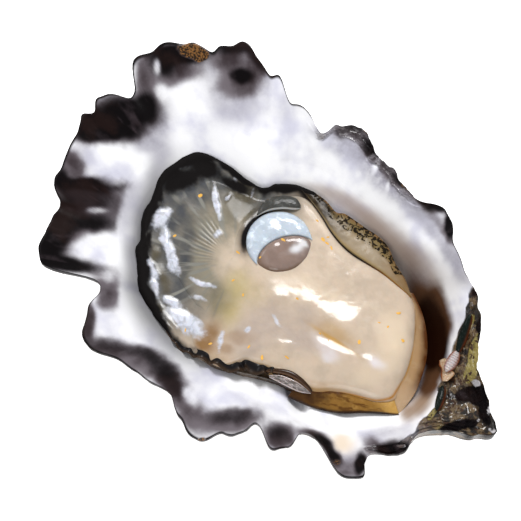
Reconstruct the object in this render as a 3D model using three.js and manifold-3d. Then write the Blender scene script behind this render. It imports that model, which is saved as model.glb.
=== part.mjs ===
// An oyster on the half shell: the cupped lower valve with its fluted lip, and the soft body that lies in it.
// Millimetres, +Z up, standing on a flat spot under the cup at z = 0. +X runs along the shell to the hinge.
// A bearing is an angle in degrees about the middle of the hollow, from +X and anticlockwise from above.

import * as THREE from 'three';
import { ParametricGeometry } from 'three/addons/geometries/ParametricGeometry.js';
import { mergeVertices } from 'three/addons/utils/BufferGeometryUtils.js';
import Module from 'manifold-3d';

const wasm = await Module();
wasm.setup();

// Where the middle of the hollow lies from the middle of the whole shell
const HOLLOW_X = -1.9;
const HOLLOW_Y = 0.5;

// The gap between pieces that touch, and between the soft body and the curved shell under it
const CLEAR = 0.35;
const CLEAR_OF_SHELL = 0.6;

// Shell: the plain oval, the height of its rim and how that falls to the hinge and to the near side
const HALF_LENGTH = 45;
const HALF_WIDTH = 31;
const RIM_HEIGHT = 21.2;
const RIM_FALL_TO_HINGE = 0.9;
const RIM_RISE_TO_FAR_SIDE = 0.6;

// Flutes of the rim: bearing, how far it stands out, how far it lifts, the degrees that it takes
// to fade before and after that bearing, and how blunt it is
const FLUTES = [
  [4.4, 8.4, -2.2, 4.6, 4.4, 1.7], // beak at the hinge
  [28, 0.6, -0.4, 4, 4, 2.5],
  [58, 3.0, -0.8, 7, 5, 2.5],
  [99.8, 3.0, 0.8, 9, 6.5, 2.5], // far side
  [111, -2.6, -1.0, 3.5, 4, 2.5],
  [129.8, 4.6, 0.8, 3.0, 3.0, 2.5],
  [150, 8.6, 0.8, 17, 15.6, 11], // broad bill, with its small flutes
  [137.3, 2.3, 1.2, 2.8, 3.0, 2.5],
  [148.5, 1.5, 0.6, 2.2, 3.0, 2.5],
  [155.5, 1.7, 0.8, 3.6, 3.0, 2.5],
  [163.2, 0.9, 0.6, 2.5, 2.0, 2.5],
  [168, -0.6, -1.6, 2.5, 2.5, 2.5],
  [175, 3.9, 1.0, 3.6, 3.2, 3],
  [191, 2.3, 0.4, 11, 10.6, 10], // low shelf beside the bill
  [181.8, 0.8, 0.3, 2.2, 3.0, 2.5],
  [199.7, 0.9, 0.8, 3.0, 2.0, 2.5],
  [204.5, 0, -1.4, 3.0, 3.0, 2.5],
  [220, 6.8, 1.8, 8.0, 3.2, 3], // large lobes of the near side
  [227.8, -3.0, -1.6, 4.2, 5.0, 3],
  [245.5, 5.6, 1.6, 7.0, 8.5, 2.5],
  [262, 1.2, -1.2, 6.0, 8.0, 2.5],
  [289.5, 4.9, 1.6, 8.0, 5.5, 2.5],
  [307.3, -3.2, -1.5, 3.6, 3.0, 3], // small lobes towards the hinge
  [314, 0.4, 1.0, 3.0, 3.0, 2.5],
  [323.3, -4.3, -1.2, 4.5, 4.6, 3],
  [328, -1.2, 0, 32, 26, 4],
  [331.6, 4.6, 0.8, 3.6, 4.0, 6],
  [345.5, 1.2, 0.6, 3.5, 3.0, 2.5],
  [352.5, -1.0, -0.8, 3.0, 3.0, 2.5],
];

// Hollow: its floor, its mouth as an oval off the middle, and its edge's bulges as bearing, out and spread
const FLOOR = 4.2;
const MOUTH = { x: 2.4, y: -0.5, halfLength: 36.9, halfWidth: 24.7, shareOfRimHeight: 0.78, fillet: 3 };
const MOUTH_BULGES = [
  [138, -4, 15],
  [161, 2.2, 7],
  [312, -3.2, 22],
];
const BOWL_POWER = 2.4;

// The pocket by the hinge is wider than the soft body and has a steeper wall
const POCKET = { bearing: 14, spread: 38, bowlPower: 7.5 };
const POCKET_WIDENING = { bearing: 32, spread: 20, out: 3.2 };

// Wall of the shell, thick at the floor and the hinge and thin at the edge, with its outer growth layers
const WALL = { floor: 6.2, edge: 1.1, power: 1.4, seatFillet: 1.2 };
const UMBO = { bearing: 4, spread: 26, wall: 3.2, from: 0.5, to: 0.8 };
const LAYERS = { count: 5, depth: 0.8, from: 0.4, to: 0.6 };

// Belly: an egg lying along the hollow, with its soft folds as [x, y, rise, half length, half width, turn]
const BELLY = { x: 10.6, y: 0, halfLength: 24.4, halfWidth: 16.6, turn: 8, taper: 0.12 };
const BELLY_CROWN = { top: 16.6, edge: 9.5, lip: 0.5, flatness: 2.6, fullness: 0.55 };
const BELLY_FOLDS = [
  [16.5, 2.2, 1.1, 13, 3.8, 14],
  [19, -6, 0.8, 8, 3.2, 20],
  [3, -7, 0.7, 5, 4, 60],
  [9, -4, -0.9, 9, 1.8, 30],
];

// Muscle: an upright column, split into a quick bean and a catch crescent
const MUSCLE = { x: -3.2, y: 6.4, radius: 6.5, top: 16.4, crown: 0.9 };
const BEAN = { x: -0.9, y: 4.9, halfLength: 6, halfWidth: 4.2, turn: 34 };

// Gills: a fan of fine plates on the bill side
const GILLS = { from: 98, to: 268, innerReach: 3, top: 14.6, outerTop: 13.2, rootX: -4, rootY: -0.5 };
const GILL_PLATES = 15;
const GILL_PLATE_HEIGHT = 0.45;

// Mantle: a ruffled band along the wall of the hollow, open at the hinge
const MANTLE = { from: 30, to: 354, reachOfHollow: 0.87, width: 4.4, skin: 0.7 };
const MANTLE_AT_BILL = { bearing: 200, spread: 48, wider: 2.6 };
const RUFFLES = [
  { across: 0.85, spread: 0.16, height: 1.7, waves: 23, depth: 0.35 },
  { across: 0.35, spread: 0.2, height: 1.3, waves: 14, depth: 0.3 },
];
const BAND_END_POWER = 0.35;

// Ligament: a dark strap let into the edge of the hinge wall, straight along the hinge line
const HINGE_LINE = new THREE.LineCurve(new THREE.Vector2(41.5, 0.3), new THREE.Vector2(34.9, 18.3));
const LIGAMENT = { rise: 0.2, halfWidth: 1.5, halfDepth: 1.1 };

const COLOURS = {
  shell: 0xd9d5d6,
  belly: 0xcdbf9c,
  gills: 0x9a917c,
  mantle: 0x3a352b,
  adductor_quick: 0xb3a896,
  adductor_catch: 0xcfd8dd,
  hinge_ligament: 0x2f2a22,
};
const ROUGHNESS = { shell: 0.4, hinge_ligament: 0.6 };
const WET_ROUGHNESS = 0.25;

const DEGREE = Math.PI / 180;

// The signed turn from one bearing to another, between -180 and 180 degrees
function turnFrom(start, bearing) {
  return THREE.MathUtils.euclideanModulo(bearing - start + 180, 360) - 180;
}

// A bump of height 1 that fades over the given distances before and after its middle
function bump(distance, before, after = before, blunt = 2) {
  return Math.exp(-Math.pow(Math.abs(distance) / (distance < 0 ? before : after), blunt));
}

// The lower of two heights, with the corner between them rounded over the given height
function smoothMin(a, b, fillet) {
  const overlap = Math.max(fillet - Math.abs(a - b), 0);
  return Math.min(a, b) - overlap ** 2 / (4 * fillet);
}

// Distance from the middle of the hollow to an oval that may lie off it
function ovalReach(bearing, halfLength, halfWidth, x = 0, y = 0) {
  const along = Math.cos(bearing * DEGREE) / halfLength;
  const across = Math.sin(bearing * DEGREE) / halfWidth;
  const a = along ** 2 + across ** 2;
  const b = (along * x) / halfLength + (across * y) / halfWidth;
  const c = (x / halfLength) ** 2 + (y / halfWidth) ** 2 - 1;
  return (b + Math.sqrt(b ** 2 - a * c)) / a;
}

function fluteShares(bearing) {
  return FLUTES.map(([at, , , before, after, blunt]) => bump(turnFrom(at, bearing), before, after, blunt));
}

function rimReach(bearing) {
  const shares = fluteShares(bearing);
  const out = FLUTES.reduce((sum, flute, i) => sum + flute[1] * shares[i], 0);
  return ovalReach(bearing, HALF_LENGTH, HALF_WIDTH) + out;
}

function rimLift(bearing) {
  const shares = fluteShares(bearing);
  return FLUTES.reduce((sum, flute, i) => sum + flute[2] * shares[i], 0);
}

function plainRimHeight(bearing) {
  const angle = bearing * DEGREE;
  return RIM_HEIGHT - RIM_FALL_TO_HINGE * Math.cos(angle) + RIM_RISE_TO_FAR_SIDE * Math.sin(angle);
}

// Where the soft body's hollow ends, and the mouth of the shell, which is wider by the hinge
function hollowReach(bearing) {
  const oval = ovalReach(bearing, MOUTH.halfLength, MOUTH.halfWidth, MOUTH.x, MOUTH.y);
  const bulges = MOUTH_BULGES.map(([at, out, spread]) => out * bump(turnFrom(at, bearing), spread));
  return bulges.reduce((sum, bulge) => sum + bulge, oval);
}

function mouthReach(bearing) {
  const widening = bump(turnFrom(POCKET_WIDENING.bearing, bearing), POCKET_WIDENING.spread);
  return hollowReach(bearing) + POCKET_WIDENING.out * widening;
}

// Height of the shell's inner face: a bowl up to the mouth, then the lip out to the fluted rim
function innerHeight(bearing, reach) {
  const mouth = mouthReach(bearing);
  const rim = plainRimHeight(bearing);
  const mouthHeight = rim * MOUTH.shareOfRimHeight;
  const pocket = bump(turnFrom(POCKET.bearing, bearing), POCKET.spread);
  const power = THREE.MathUtils.lerp(BOWL_POWER, POCKET.bowlPower, pocket);
  const bowl = FLOOR + (mouthHeight - FLOOR) * Math.pow(reach / mouth, power);
  if (reach < mouth) {
    return smoothMin(bowl, mouthHeight + (mouth - reach), MOUTH.fillet);
  }
  const share = (reach - mouth) / (rimReach(bearing) - mouth);
  const lip = mouthHeight + (rim - mouthHeight) * share + rimLift(bearing) * share ** 2;
  return smoothMin(bowl, lip, MOUTH.fillet);
}

function innerHeightAt(x, y) {
  return innerHeight(Math.atan2(y, x) / DEGREE, Math.hypot(x, y));
}

// Height of the shell's outer face: the wall below the inner face, stepped by growth layers and
// flat where it stands
function outerHeight(bearing, reach) {
  const share = Math.min(reach / ovalReach(bearing, HALF_LENGTH, HALF_WIDTH), 1);
  const wall = THREE.MathUtils.lerp(WALL.floor, WALL.edge, Math.pow(share, WALL.power));
  const hinge = bump(turnFrom(UMBO.bearing, bearing), UMBO.spread);
  const umbo = UMBO.wall * hinge * THREE.MathUtils.smoothstep(share, UMBO.from, UMBO.to);
  const step = LAYERS.depth * ((share * LAYERS.count) % 1);
  const layers = step * THREE.MathUtils.smoothstep(share, LAYERS.from, LAYERS.to);
  const height = innerHeight(bearing, reach) - wall - umbo - layers;
  return -smoothMin(-height, 0, WALL.seatFillet);
}

// A closed surface as a solid: shared vertices merged, collapsed triangles dropped, faces turned outwards
function solidOf(geometry) {
  geometry.deleteAttribute('normal');
  geometry.deleteAttribute('uv');
  const merged = mergeVertices(geometry, 1e-4);
  const index = merged.index.array;
  const corners = [];
  for (let i = 0; i < index.length; i += 3) {
    const [a, b, c] = index.slice(i, i + 3);
    if (a !== b && b !== c && c !== a) {
      corners.push(a, b, c);
    }
  }
  const vertProperties = Float32Array.from(merged.attributes.position.array);
  const build = (order) =>
    new wasm.Manifold(new wasm.Mesh({ numProp: 3, vertProperties, triVerts: Uint32Array.from(order) }));
  const solid = build(corners);
  return solid.volume() > 0 ? solid : build(corners.reverse());
}

function largestBody(solid) {
  return solid.decompose().reduce((best, body) => (body.volume() > best.volume() ? body : best));
}

function meshOf(name, solid) {
  const { vertProperties, triVerts } = solid.getMesh();
  const geometry = new THREE.BufferGeometry();
  geometry.setAttribute('position', new THREE.BufferAttribute(vertProperties, 3));
  geometry.setIndex(new THREE.BufferAttribute(triVerts, 1));
  geometry.computeVertexNormals();
  const roughness = ROUGHNESS[name] ?? WET_ROUGHNESS;
  const material = new THREE.MeshStandardMaterial({ color: COLOURS[name], roughness, metalness: 0 });
  const mesh = new THREE.Mesh(geometry, material);
  mesh.name = name;
  return mesh;
}

// Shell: from the middle of the floor up the inner face to the rim, and back down the outer face,
// with fewer slices along the side that has few flutes
const SHELL_SLICES = 160;
const SHELL_STACKS = 21;
const SHELL_INNER_STACKS = 10;
const PLAIN_SIDE = { from: 10, to: 92, slices: 22 };

function shellBearing(u) {
  const slice = (u % 1) * SHELL_SLICES;
  if (slice < PLAIN_SIDE.slices) {
    return THREE.MathUtils.lerp(PLAIN_SIDE.from, PLAIN_SIDE.to, slice / PLAIN_SIDE.slices);
  }
  const share = (slice - PLAIN_SIDE.slices) / (SHELL_SLICES - PLAIN_SIDE.slices);
  return THREE.MathUtils.lerp(PLAIN_SIDE.to, PLAIN_SIDE.from + 360, share);
}

function shellPoint(u, v, target) {
  const bearing = shellBearing(u);
  const stack = v * SHELL_STACKS;
  const inside = stack <= SHELL_INNER_STACKS;
  const share = inside
    ? stack / SHELL_INNER_STACKS
    : (SHELL_STACKS - stack) / (SHELL_STACKS - SHELL_INNER_STACKS - 1);
  const reach = rimReach(bearing) * Math.min(share, 1);
  const height = inside ? innerHeight(bearing, reach) : outerHeight(bearing, reach);
  target.set(reach * Math.cos(bearing * DEGREE), reach * Math.sin(bearing * DEGREE), height);
}

// Belly: from its top over the round edge and back along the floor of the hollow
const BELLY_SLICES = 44;
const BELLY_STACKS = 16;

function bellyPlan(angle, share, grow) {
  const reach = share * ovalReach(angle, BELLY.halfLength + grow, BELLY.halfWidth + grow);
  const along = reach * Math.cos(angle * DEGREE);
  const across = reach * Math.sin(angle * DEGREE) * (1 - (BELLY.taper * along) / BELLY.halfLength);
  const cos = Math.cos(BELLY.turn * DEGREE);
  const sin = Math.sin(BELLY.turn * DEGREE);
  return [BELLY.x + along * cos - across * sin, BELLY.y + along * sin + across * cos];
}

function foldHeight(x, y) {
  return BELLY_FOLDS.reduce((sum, [fx, fy, rise, halfLength, halfWidth, turn]) => {
    const cos = Math.cos(turn * DEGREE);
    const sin = Math.sin(turn * DEGREE);
    const along = ((x - fx) * cos + (y - fy) * sin) / halfLength;
    const across = ((y - fy) * cos - (x - fx) * sin) / halfWidth;
    return sum + rise * bump(Math.hypot(along, across), 1);
  }, 0);
}

function bellyPoint(grow) {
  return (u, v, target) => {
    const angle = (u % 1) * 360;
    const share = 1 - Math.abs(1 - 2 * v);
    const [x, y] = bellyPlan(angle, share, grow);
    const [edgeX, edgeY] = bellyPlan(angle, 1, grow);
    const edge = Math.max(BELLY_CROWN.edge, innerHeightAt(edgeX, edgeY) + CLEAR_OF_SHELL + BELLY_CROWN.lip);
    const dome = Math.pow(1 - Math.pow(share, BELLY_CROWN.flatness), BELLY_CROWN.fullness);
    const top = edge + (BELLY_CROWN.top + grow - edge + foldHeight(x, y)) * dome;
    const bottom = Math.min(innerHeightAt(x, y) + CLEAR_OF_SHELL - grow, edge);
    target.set(x, y, v <= 0.5 ? top : bottom);
  };
}

// Muscle: a column with a rounded crown, standing on the shell
const MUSCLE_SLICES = 32;
const MUSCLE_STACKS = 10;
const BEAN_SIDES = 24;

function musclePoint(grow) {
  return (u, v, target) => {
    const angle = (u % 1) * 2 * Math.PI;
    const share = Math.min(1, 2.5 * (0.5 - Math.abs(v - 0.5)));
    const x = MUSCLE.x + (MUSCLE.radius + grow) * share * Math.cos(angle);
    const y = MUSCLE.y + (MUSCLE.radius + grow) * share * Math.sin(angle);
    const top = MUSCLE.top + grow - MUSCLE.crown * share ** 4;
    target.set(x, y, v < 0.5 ? top : innerHeightAt(x, y) + CLEAR_OF_SHELL - grow);
  };
}

// The bean's outline carried straight up through the muscle
function beanPrism(grow) {
  const outline = new THREE.Shape();
  const turn = BEAN.turn * DEGREE;
  const halfLength = BEAN.halfLength + grow;
  const halfWidth = BEAN.halfWidth + grow;
  outline.absellipse(BEAN.x, BEAN.y, halfLength, halfWidth, 0, 2 * Math.PI, false, turn);
  const depth = MUSCLE.top + 2 * MUSCLE.crown;
  const settings = { depth, bevelEnabled: false, curveSegments: BEAN_SIDES };
  return solidOf(new THREE.ExtrudeGeometry(outline, settings));
}

// A band about the middle of the hollow whose section closes to a point at both ends
function bandPoint(from, to, section) {
  return (u, v, target) => {
    const bearing = THREE.MathUtils.lerp(from, to, u);
    const ends = Math.pow(4 * u * (1 - u), BAND_END_POWER);
    const across = 1 - Math.abs(1 - 2 * (v % 1));
    const { inner, outer, top } = section(bearing);
    const middle = (inner + outer) / 2;
    const reach = THREE.MathUtils.lerp(middle, THREE.MathUtils.lerp(inner, outer, across), ends);
    const floor = innerHeight(bearing, reach) + CLEAR_OF_SHELL;
    const height = (v % 1) < 0.5 ? floor + (top(across, reach) - floor) * ends : floor;
    const edge = across === 0 || across === 1;
    target.set(
      reach * Math.cos(bearing * DEGREE),
      reach * Math.sin(bearing * DEGREE),
      edge ? floor : height,
    );
  };
}

function mantleOuter(bearing) {
  return hollowReach(bearing) * MANTLE.reachOfHollow;
}

function mantleInner(bearing) {
  const bill = bump(turnFrom(MANTLE_AT_BILL.bearing, bearing), MANTLE_AT_BILL.spread);
  return mantleOuter(bearing) - MANTLE.width - MANTLE_AT_BILL.wider * bill;
}

function mantleSection(bearing) {
  const ruffleAt = (across) =>
    RUFFLES.reduce((sum, ruffle) => {
      const wave = 1 - ruffle.depth * (1 + Math.sin(bearing * DEGREE * ruffle.waves));
      return sum + ruffle.height * wave * bump(across - ruffle.across, ruffle.spread);
    }, 0);
  const top = (across, reach) =>
    innerHeight(bearing, reach) + CLEAR_OF_SHELL + MANTLE.skin + ruffleAt(across);
  return { inner: mantleInner(bearing), outer: mantleOuter(bearing), top };
}

function gillSection(bearing) {
  const outer = mantleInner(bearing) - CLEAR;
  const top = (across, reach) => {
    const x = reach * Math.cos(bearing * DEGREE) - GILLS.rootX;
    const y = reach * Math.sin(bearing * DEGREE) - GILLS.rootY;
    const plates = GILL_PLATE_HEIGHT * Math.cos(Math.atan2(y, x) * GILL_PLATES * 2) * across;
    const lowest = innerHeight(bearing, reach) + CLEAR_OF_SHELL + MANTLE.skin;
    return Math.max(THREE.MathUtils.lerp(GILLS.top, GILLS.outerTop, across) + plates, lowest);
  };
  return { inner: GILLS.innerReach, outer, top };
}

// Ligament: a strap of oval section carried along the hinge line, as high as the hinge wall under it
function ligamentPoint(grow) {
  return (u, v, target) => {
    const ends = Math.sqrt(4 * u * (1 - u));
    const angle = (v % 1) * 2 * Math.PI;
    const middle = HINGE_LINE.getPoint(u);
    const along = HINGE_LINE.getTangent(u);
    const across = (LIGAMENT.halfWidth + grow) * ends * Math.cos(angle);
    const rise = LIGAMENT.rise + (LIGAMENT.halfDepth + grow) * ends * Math.sin(angle);
    const height = innerHeightAt(middle.x, middle.y) + rise;
    target.set(middle.x + across * along.y, middle.y - across * along.x, height);
  };
}

const GILL_SLICES = 66;
const GILL_STACKS = 12;
const MANTLE_SLICES = 108;
const MANTLE_STACKS = 10;
const LIGAMENT_SLICES = 22;
const LIGAMENT_STACKS = 8;

const surface = (point, slices, stacks) => solidOf(new ParametricGeometry(point, slices, stacks));
const belly = (grow) => surface(bellyPoint(grow), BELLY_SLICES, BELLY_STACKS);
const muscle = (grow) => surface(musclePoint(grow), MUSCLE_SLICES, MUSCLE_STACKS);
const ligament = (grow) => surface(ligamentPoint(grow), LIGAMENT_SLICES, LIGAMENT_STACKS);
const gills = surface(bandPoint(GILLS.from, GILLS.to, gillSection), GILL_SLICES, GILL_STACKS);
const mantle = surface(bandPoint(MANTLE.from, MANTLE.to, mantleSection), MANTLE_SLICES, MANTLE_STACKS);

const solids = {
  shell: surface(shellPoint, SHELL_SLICES, SHELL_STACKS).subtract(ligament(CLEAR)),
  belly: belly(0).subtract(muscle(CLEAR)),
  gills: gills.subtract(belly(CLEAR)).subtract(muscle(CLEAR)),
  mantle: mantle.subtract(belly(CLEAR)),
  adductor_quick: muscle(0).intersect(beanPrism(0)),
  adductor_catch: muscle(0).subtract(beanPrism(CLEAR)),
  hinge_ligament: ligament(0),
};

const oyster = new THREE.Group();
oyster.position.set(HOLLOW_X, HOLLOW_Y, 0);
for (const [name, solid] of Object.entries(solids)) {
  oyster.add(meshOf(name, largestBody(solid)));
}

export default oyster;
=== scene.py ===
"""An oyster on the half shell: the cupped lower shell, and the wet soft body that lies in it.

Shapes are worked out in millimetres about the middle of the hollow, with +X towards the hinge and +Z up.
A bearing is an angle in degrees about that middle, from +X and anticlockwise from above, and a reach is a
distance from it. add_piece moves a shape to the frame and turns it into metres.
"""

import bpy
import numpy as np
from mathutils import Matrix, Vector


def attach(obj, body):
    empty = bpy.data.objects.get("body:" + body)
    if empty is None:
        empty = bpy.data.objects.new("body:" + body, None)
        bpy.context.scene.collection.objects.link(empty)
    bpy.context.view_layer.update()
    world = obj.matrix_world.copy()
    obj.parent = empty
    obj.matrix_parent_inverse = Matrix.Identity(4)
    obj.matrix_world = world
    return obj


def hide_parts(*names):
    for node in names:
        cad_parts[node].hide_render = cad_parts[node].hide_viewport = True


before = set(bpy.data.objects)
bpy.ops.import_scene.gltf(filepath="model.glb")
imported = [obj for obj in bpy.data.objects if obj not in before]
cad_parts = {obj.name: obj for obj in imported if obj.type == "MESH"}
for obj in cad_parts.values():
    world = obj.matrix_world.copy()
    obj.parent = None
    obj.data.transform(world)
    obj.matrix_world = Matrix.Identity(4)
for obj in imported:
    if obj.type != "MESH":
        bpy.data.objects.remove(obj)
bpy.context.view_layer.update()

MM = 0.001
HOLLOW = np.array([-1.9, 0.5, 0.0])

# Shell: the plain oval and the height of its rim, as in the frame
HALF_LENGTH, HALF_WIDTH = 45.0, 31.0
RIM_HEIGHT, RIM_FALL_TO_HINGE, RIM_RISE_TO_FAR_SIDE = 21.2, 0.9, 0.6

# Flutes of the rim: bearing, how far it stands out, how far it lifts, the degrees that it takes to fade
# before and after that bearing, and how blunt it is
FLUTES = [
    (0, 1.4, 0, 1.6, 1.6, 2.5),
    (4.4, 8.4, -2.2, 4.6, 4.4, 1.7),
    (10.5, 1.8, 0, 3.0, 3.0, 2.5),
    (22, 0.65, 0, 11, 11, 4),
    (28, 0.6, -0.4, 4, 4, 2.5),
    (34.5, 1.2, 0, 3.5, 3.5, 2.5),
    (45, 0.5, 0, 4, 4, 2.5),
    (58, 3.0, -0.8, 7, 5, 2.5),
    (62.5, 1.2, 0, 2.5, 2.5, 2.5),
    (85, 0.9, 0, 8, 6, 2.5),
    (99.8, 3.0, 0.8, 9, 6.5, 2.5),
    (108, 0.9, 0, 2.0, 2.0, 2.5),
    (109, 1.2, 0, 2.5, 2.5, 2.5),
    (111, -2.6, -1.0, 3.5, 4, 2.5),
    (112.5, 0.7, 0, 2.0, 2.0, 2.5),
    (121, 1.0, 0, 3.0, 3.0, 2.5),
    (127.5, 1.4, 0, 2.5, 2.5, 2.5),
    (129.8, 4.6, 0.8, 3.0, 3.0, 2.5),
    (133.2, 1.8, 0, 1.6, 1.4, 2.5),
    (137.3, 2.3, 1.2, 2.8, 3.0, 2.5),
    (143.0, 1.2, 0, 2.6, 2.0, 2.5),
    (147, -1.2, 0, 2.2, 2.0, 2.5),
    (148.5, 1.5, 0.6, 2.2, 3.0, 2.5),
    (150, 8.6, 0.8, 17, 15.6, 11),
    (155.5, 1.7, 0.8, 3.6, 3.0, 2.5),
    (163.2, 0.5, 0.6, 2.5, 2.0, 2.5),
    (166.8, 2.9, 0, 2.8, 3.2, 2.5),
    (168, -0.6, -1.6, 2.5, 2.5, 2.5),
    (171, 0.8, 0, 1.6, 1.6, 2.5),
    (175, 3.9, 1.0, 3.6, 3.2, 3),
    (177, 0.7, 0, 1.6, 1.6, 2.5),
    (180, 1.8, 0, 2.2, 2.2, 2.5),
    (181.8, 0.8, 0.3, 2.2, 3.0, 2.5),
    (191, 2.3, 0.4, 11, 10.6, 10),
    (199.7, 0.9, 0.8, 3.0, 2.0, 2.5),
    (202.5, 1.4, 0, 2.0, 2.5, 2.5),
    (204.5, 0, -1.4, 3.0, 3.0, 2.5),
    (208.5, 2.9, 0, 4.0, 4.0, 3),
    (213, 0.7, 0, 2.0, 2.0, 2.5),
    (220, 6.8, 1.8, 8.0, 3.2, 3),
    (223, 1.7, 0, 1.6, 1.4, 2.5),
    (227.8, -3.0, -1.6, 4.2, 5.0, 3),
    (234, 1.4, 0, 6.0, 6.0, 3),
    (245.5, 5.6, 1.6, 7.0, 8.5, 2.5),
    (252, 0.2, 0, 5.0, 5.0, 3),
    (257, 0.6, 0, 3.0, 3.0, 2.5),
    (262, 1.2, -1.2, 6.0, 8.0, 2.5),
    (279.5, 1.3, 0, 3.6, 3.0, 2.5),
    (289.5, 4.9, 1.6, 8.0, 5.5, 2.5),
    (298.5, 1.2, 0, 2.5, 2.5, 2.5),
    (307.3, -3.2, -1.5, 3.6, 3.0, 3),
    (311, 1.2, 0, 3.0, 3.0, 2.5),
    (314, 0.4, 1.0, 3.0, 3.0, 2.5),
    (323.3, -4.3, -1.2, 4.5, 4.6, 3),
    (328, -1.2, 0, 32, 26, 4),
    (331.4, 4.6, 0.8, 3.9, 4.0, 6),
    (336, 1.3, 0, 1.5, 1.5, 2.5),
    (345.5, 1.2, 0.6, 3.5, 3.0, 2.5),
    (352.5, -1.0, -0.8, 3.0, 3.0, 2.5),
]

# Hollow: its floor, its mouth as an oval off the middle, and the bulges of its edge as bearing, out, spread
FLOOR = 4.2
MOUTH = {"x": 2.4, "y": -0.5, "half_length": 36.9, "half_width": 24.7, "share_of_rim": 0.78, "fillet": 3.0,
         "slope_inside": 0.6, "lowest_lip": 10.5}
MOUTH_BULGES = [(138, -4.0, 15), (161, 2.2, 7), (312, -3.2, 22)]
BOWL_POWER = 2.4
LINED_BOWL_POWER = 1.6
POCKET = {"bearing": 14, "spread": 38, "lined_before": 17, "bowl_power": 7.5}
POCKET_WIDENING = {"bearing": 32, "spread": 20, "out": 3.2}

# Wall of the shell and the growth layers of its outer face
WALL = {"floor": 6.2, "edge": 1.1, "power": 1.4, "thinnest": 0.75, "seat_fillet": 1.2}
UMBO = {"bearing": 4, "spread": 26, "wall": 3.2, "start": 0.5, "stop": 0.8}
LAYERS = {"count": 10, "depth": 0.6, "ribs": 0.45, "start": 0.35, "stop": 0.6}

# Ridges of the lip, from mouth to rim: bearing at the mouth, bearing at the rim, rise, half width in degrees
LIP_RIDGES = [
    (84, 88, 0.5, 2.0),
    (124, 126, 0.5, 4.0),
    (160, 160, 0.8, 2.0),
    (181, 190, 0.9, 4.5),
    (201, 202, 0.5, 1.8),
    (213, 214, 0.8, 5.0),
    (224, 224, 0.6, 2.2),
    (242, 240, 0.9, 4.0),
    (283, 283, 0.4, 6.0),
    (306, 306, 0.6, 3.5),
    (322, 322, 0.6, 3.5),
    (352, 352, 0.6, 3.0),
]

# Soft oval patches of the lip and of the hinge: x, y, half length, half width, turn and strength. Most are
# stains; some are painted shade, painted warm light or painted highlights, as said above each list.
LIP_BLACK = [
    (-43.4, 21.3, 5.6, 1.9, 41, 1.0),
    (-43.8, 17.7, 2.6, 2.1, 43, 0.8),
    (-41.3, 9.4, 2.4, 1.6, 122, 0.9),
    (-42.9, 5.0, 6.6, 3.6, 60, 1.0),
    (-46.5, -1.8, 3.1, 2.1, 104, 1.0),
    (-43.2, -0.3, 5.4, 1.5, 50, 0.9),
    (-35.4, 29.8, 4.8, 1.1, 40, 0.75),
    (-31.0, 26.7, 2.2, 1.3, 32, 1.0),
    (-30.4, 30.8, 2.4, 1.0, -8, 0.7),
    (-38.2, -10.3, 6.4, 1.2, 50, 0.95),
    (-42.4, -13.6, 1.5, 2.2, 55, 0.8),
    (-34.7, -23.5, 6.2, 2.4, 111, 1.0),
    (29.1, -18.4, 2.2, 1.1, 5, 0.9),
    (32.7, -19.3, 2.0, 0.9, -23, 0.95),
    (37.6, -17.4, 2.0, 0.9, 127, 1.0),
    (-1.7, 31.8, 2.4, 1.2, -6, 0.75),
    (16.6, 31.2, 2.7, 0.6, 21, 0.9),
    (20.4, 29.8, 2.9, 0.9, 134, 1.0),
    (40.7, -10.8, 3.3, 1.9, 48, 1.0),
    (-35.2, -12.9, 7.0, 3.9, 50, 0.5),
    (-12.0, -31.5, 4.7, 1.5, 43, 0.45),
    (-6.7, -28.0, 2.6, 1.6, 26, 0.5),
    (13.6, -26.2, 4.5, 1.8, 49, 0.55),
    (22.0, -23.0, 2.1, 1.8, 44, 0.6),
    (7.5, 30.0, 3.2, 0.5, -8, 0.6),
    (-7.1, 32.5, 2.8, 0.5, 19, 0.6),
    (13.9, 29.8, 2.3, 0.5, 9, 0.7),
    (-33.0, -16.4, 4.8, 1.5, 50, 0.75),
    (-37.9, -19.3, 3.3, 2.1, 110, 1.0),
    (-29.4, -25.4, 5.8, 1.7, 44, 0.95),
    (1.5, -29.0, 3.0, 1.7, -14, 0.6),
    (-2.7, -27.6, 3.4, 2.0, 4, 0.65),
]
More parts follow.
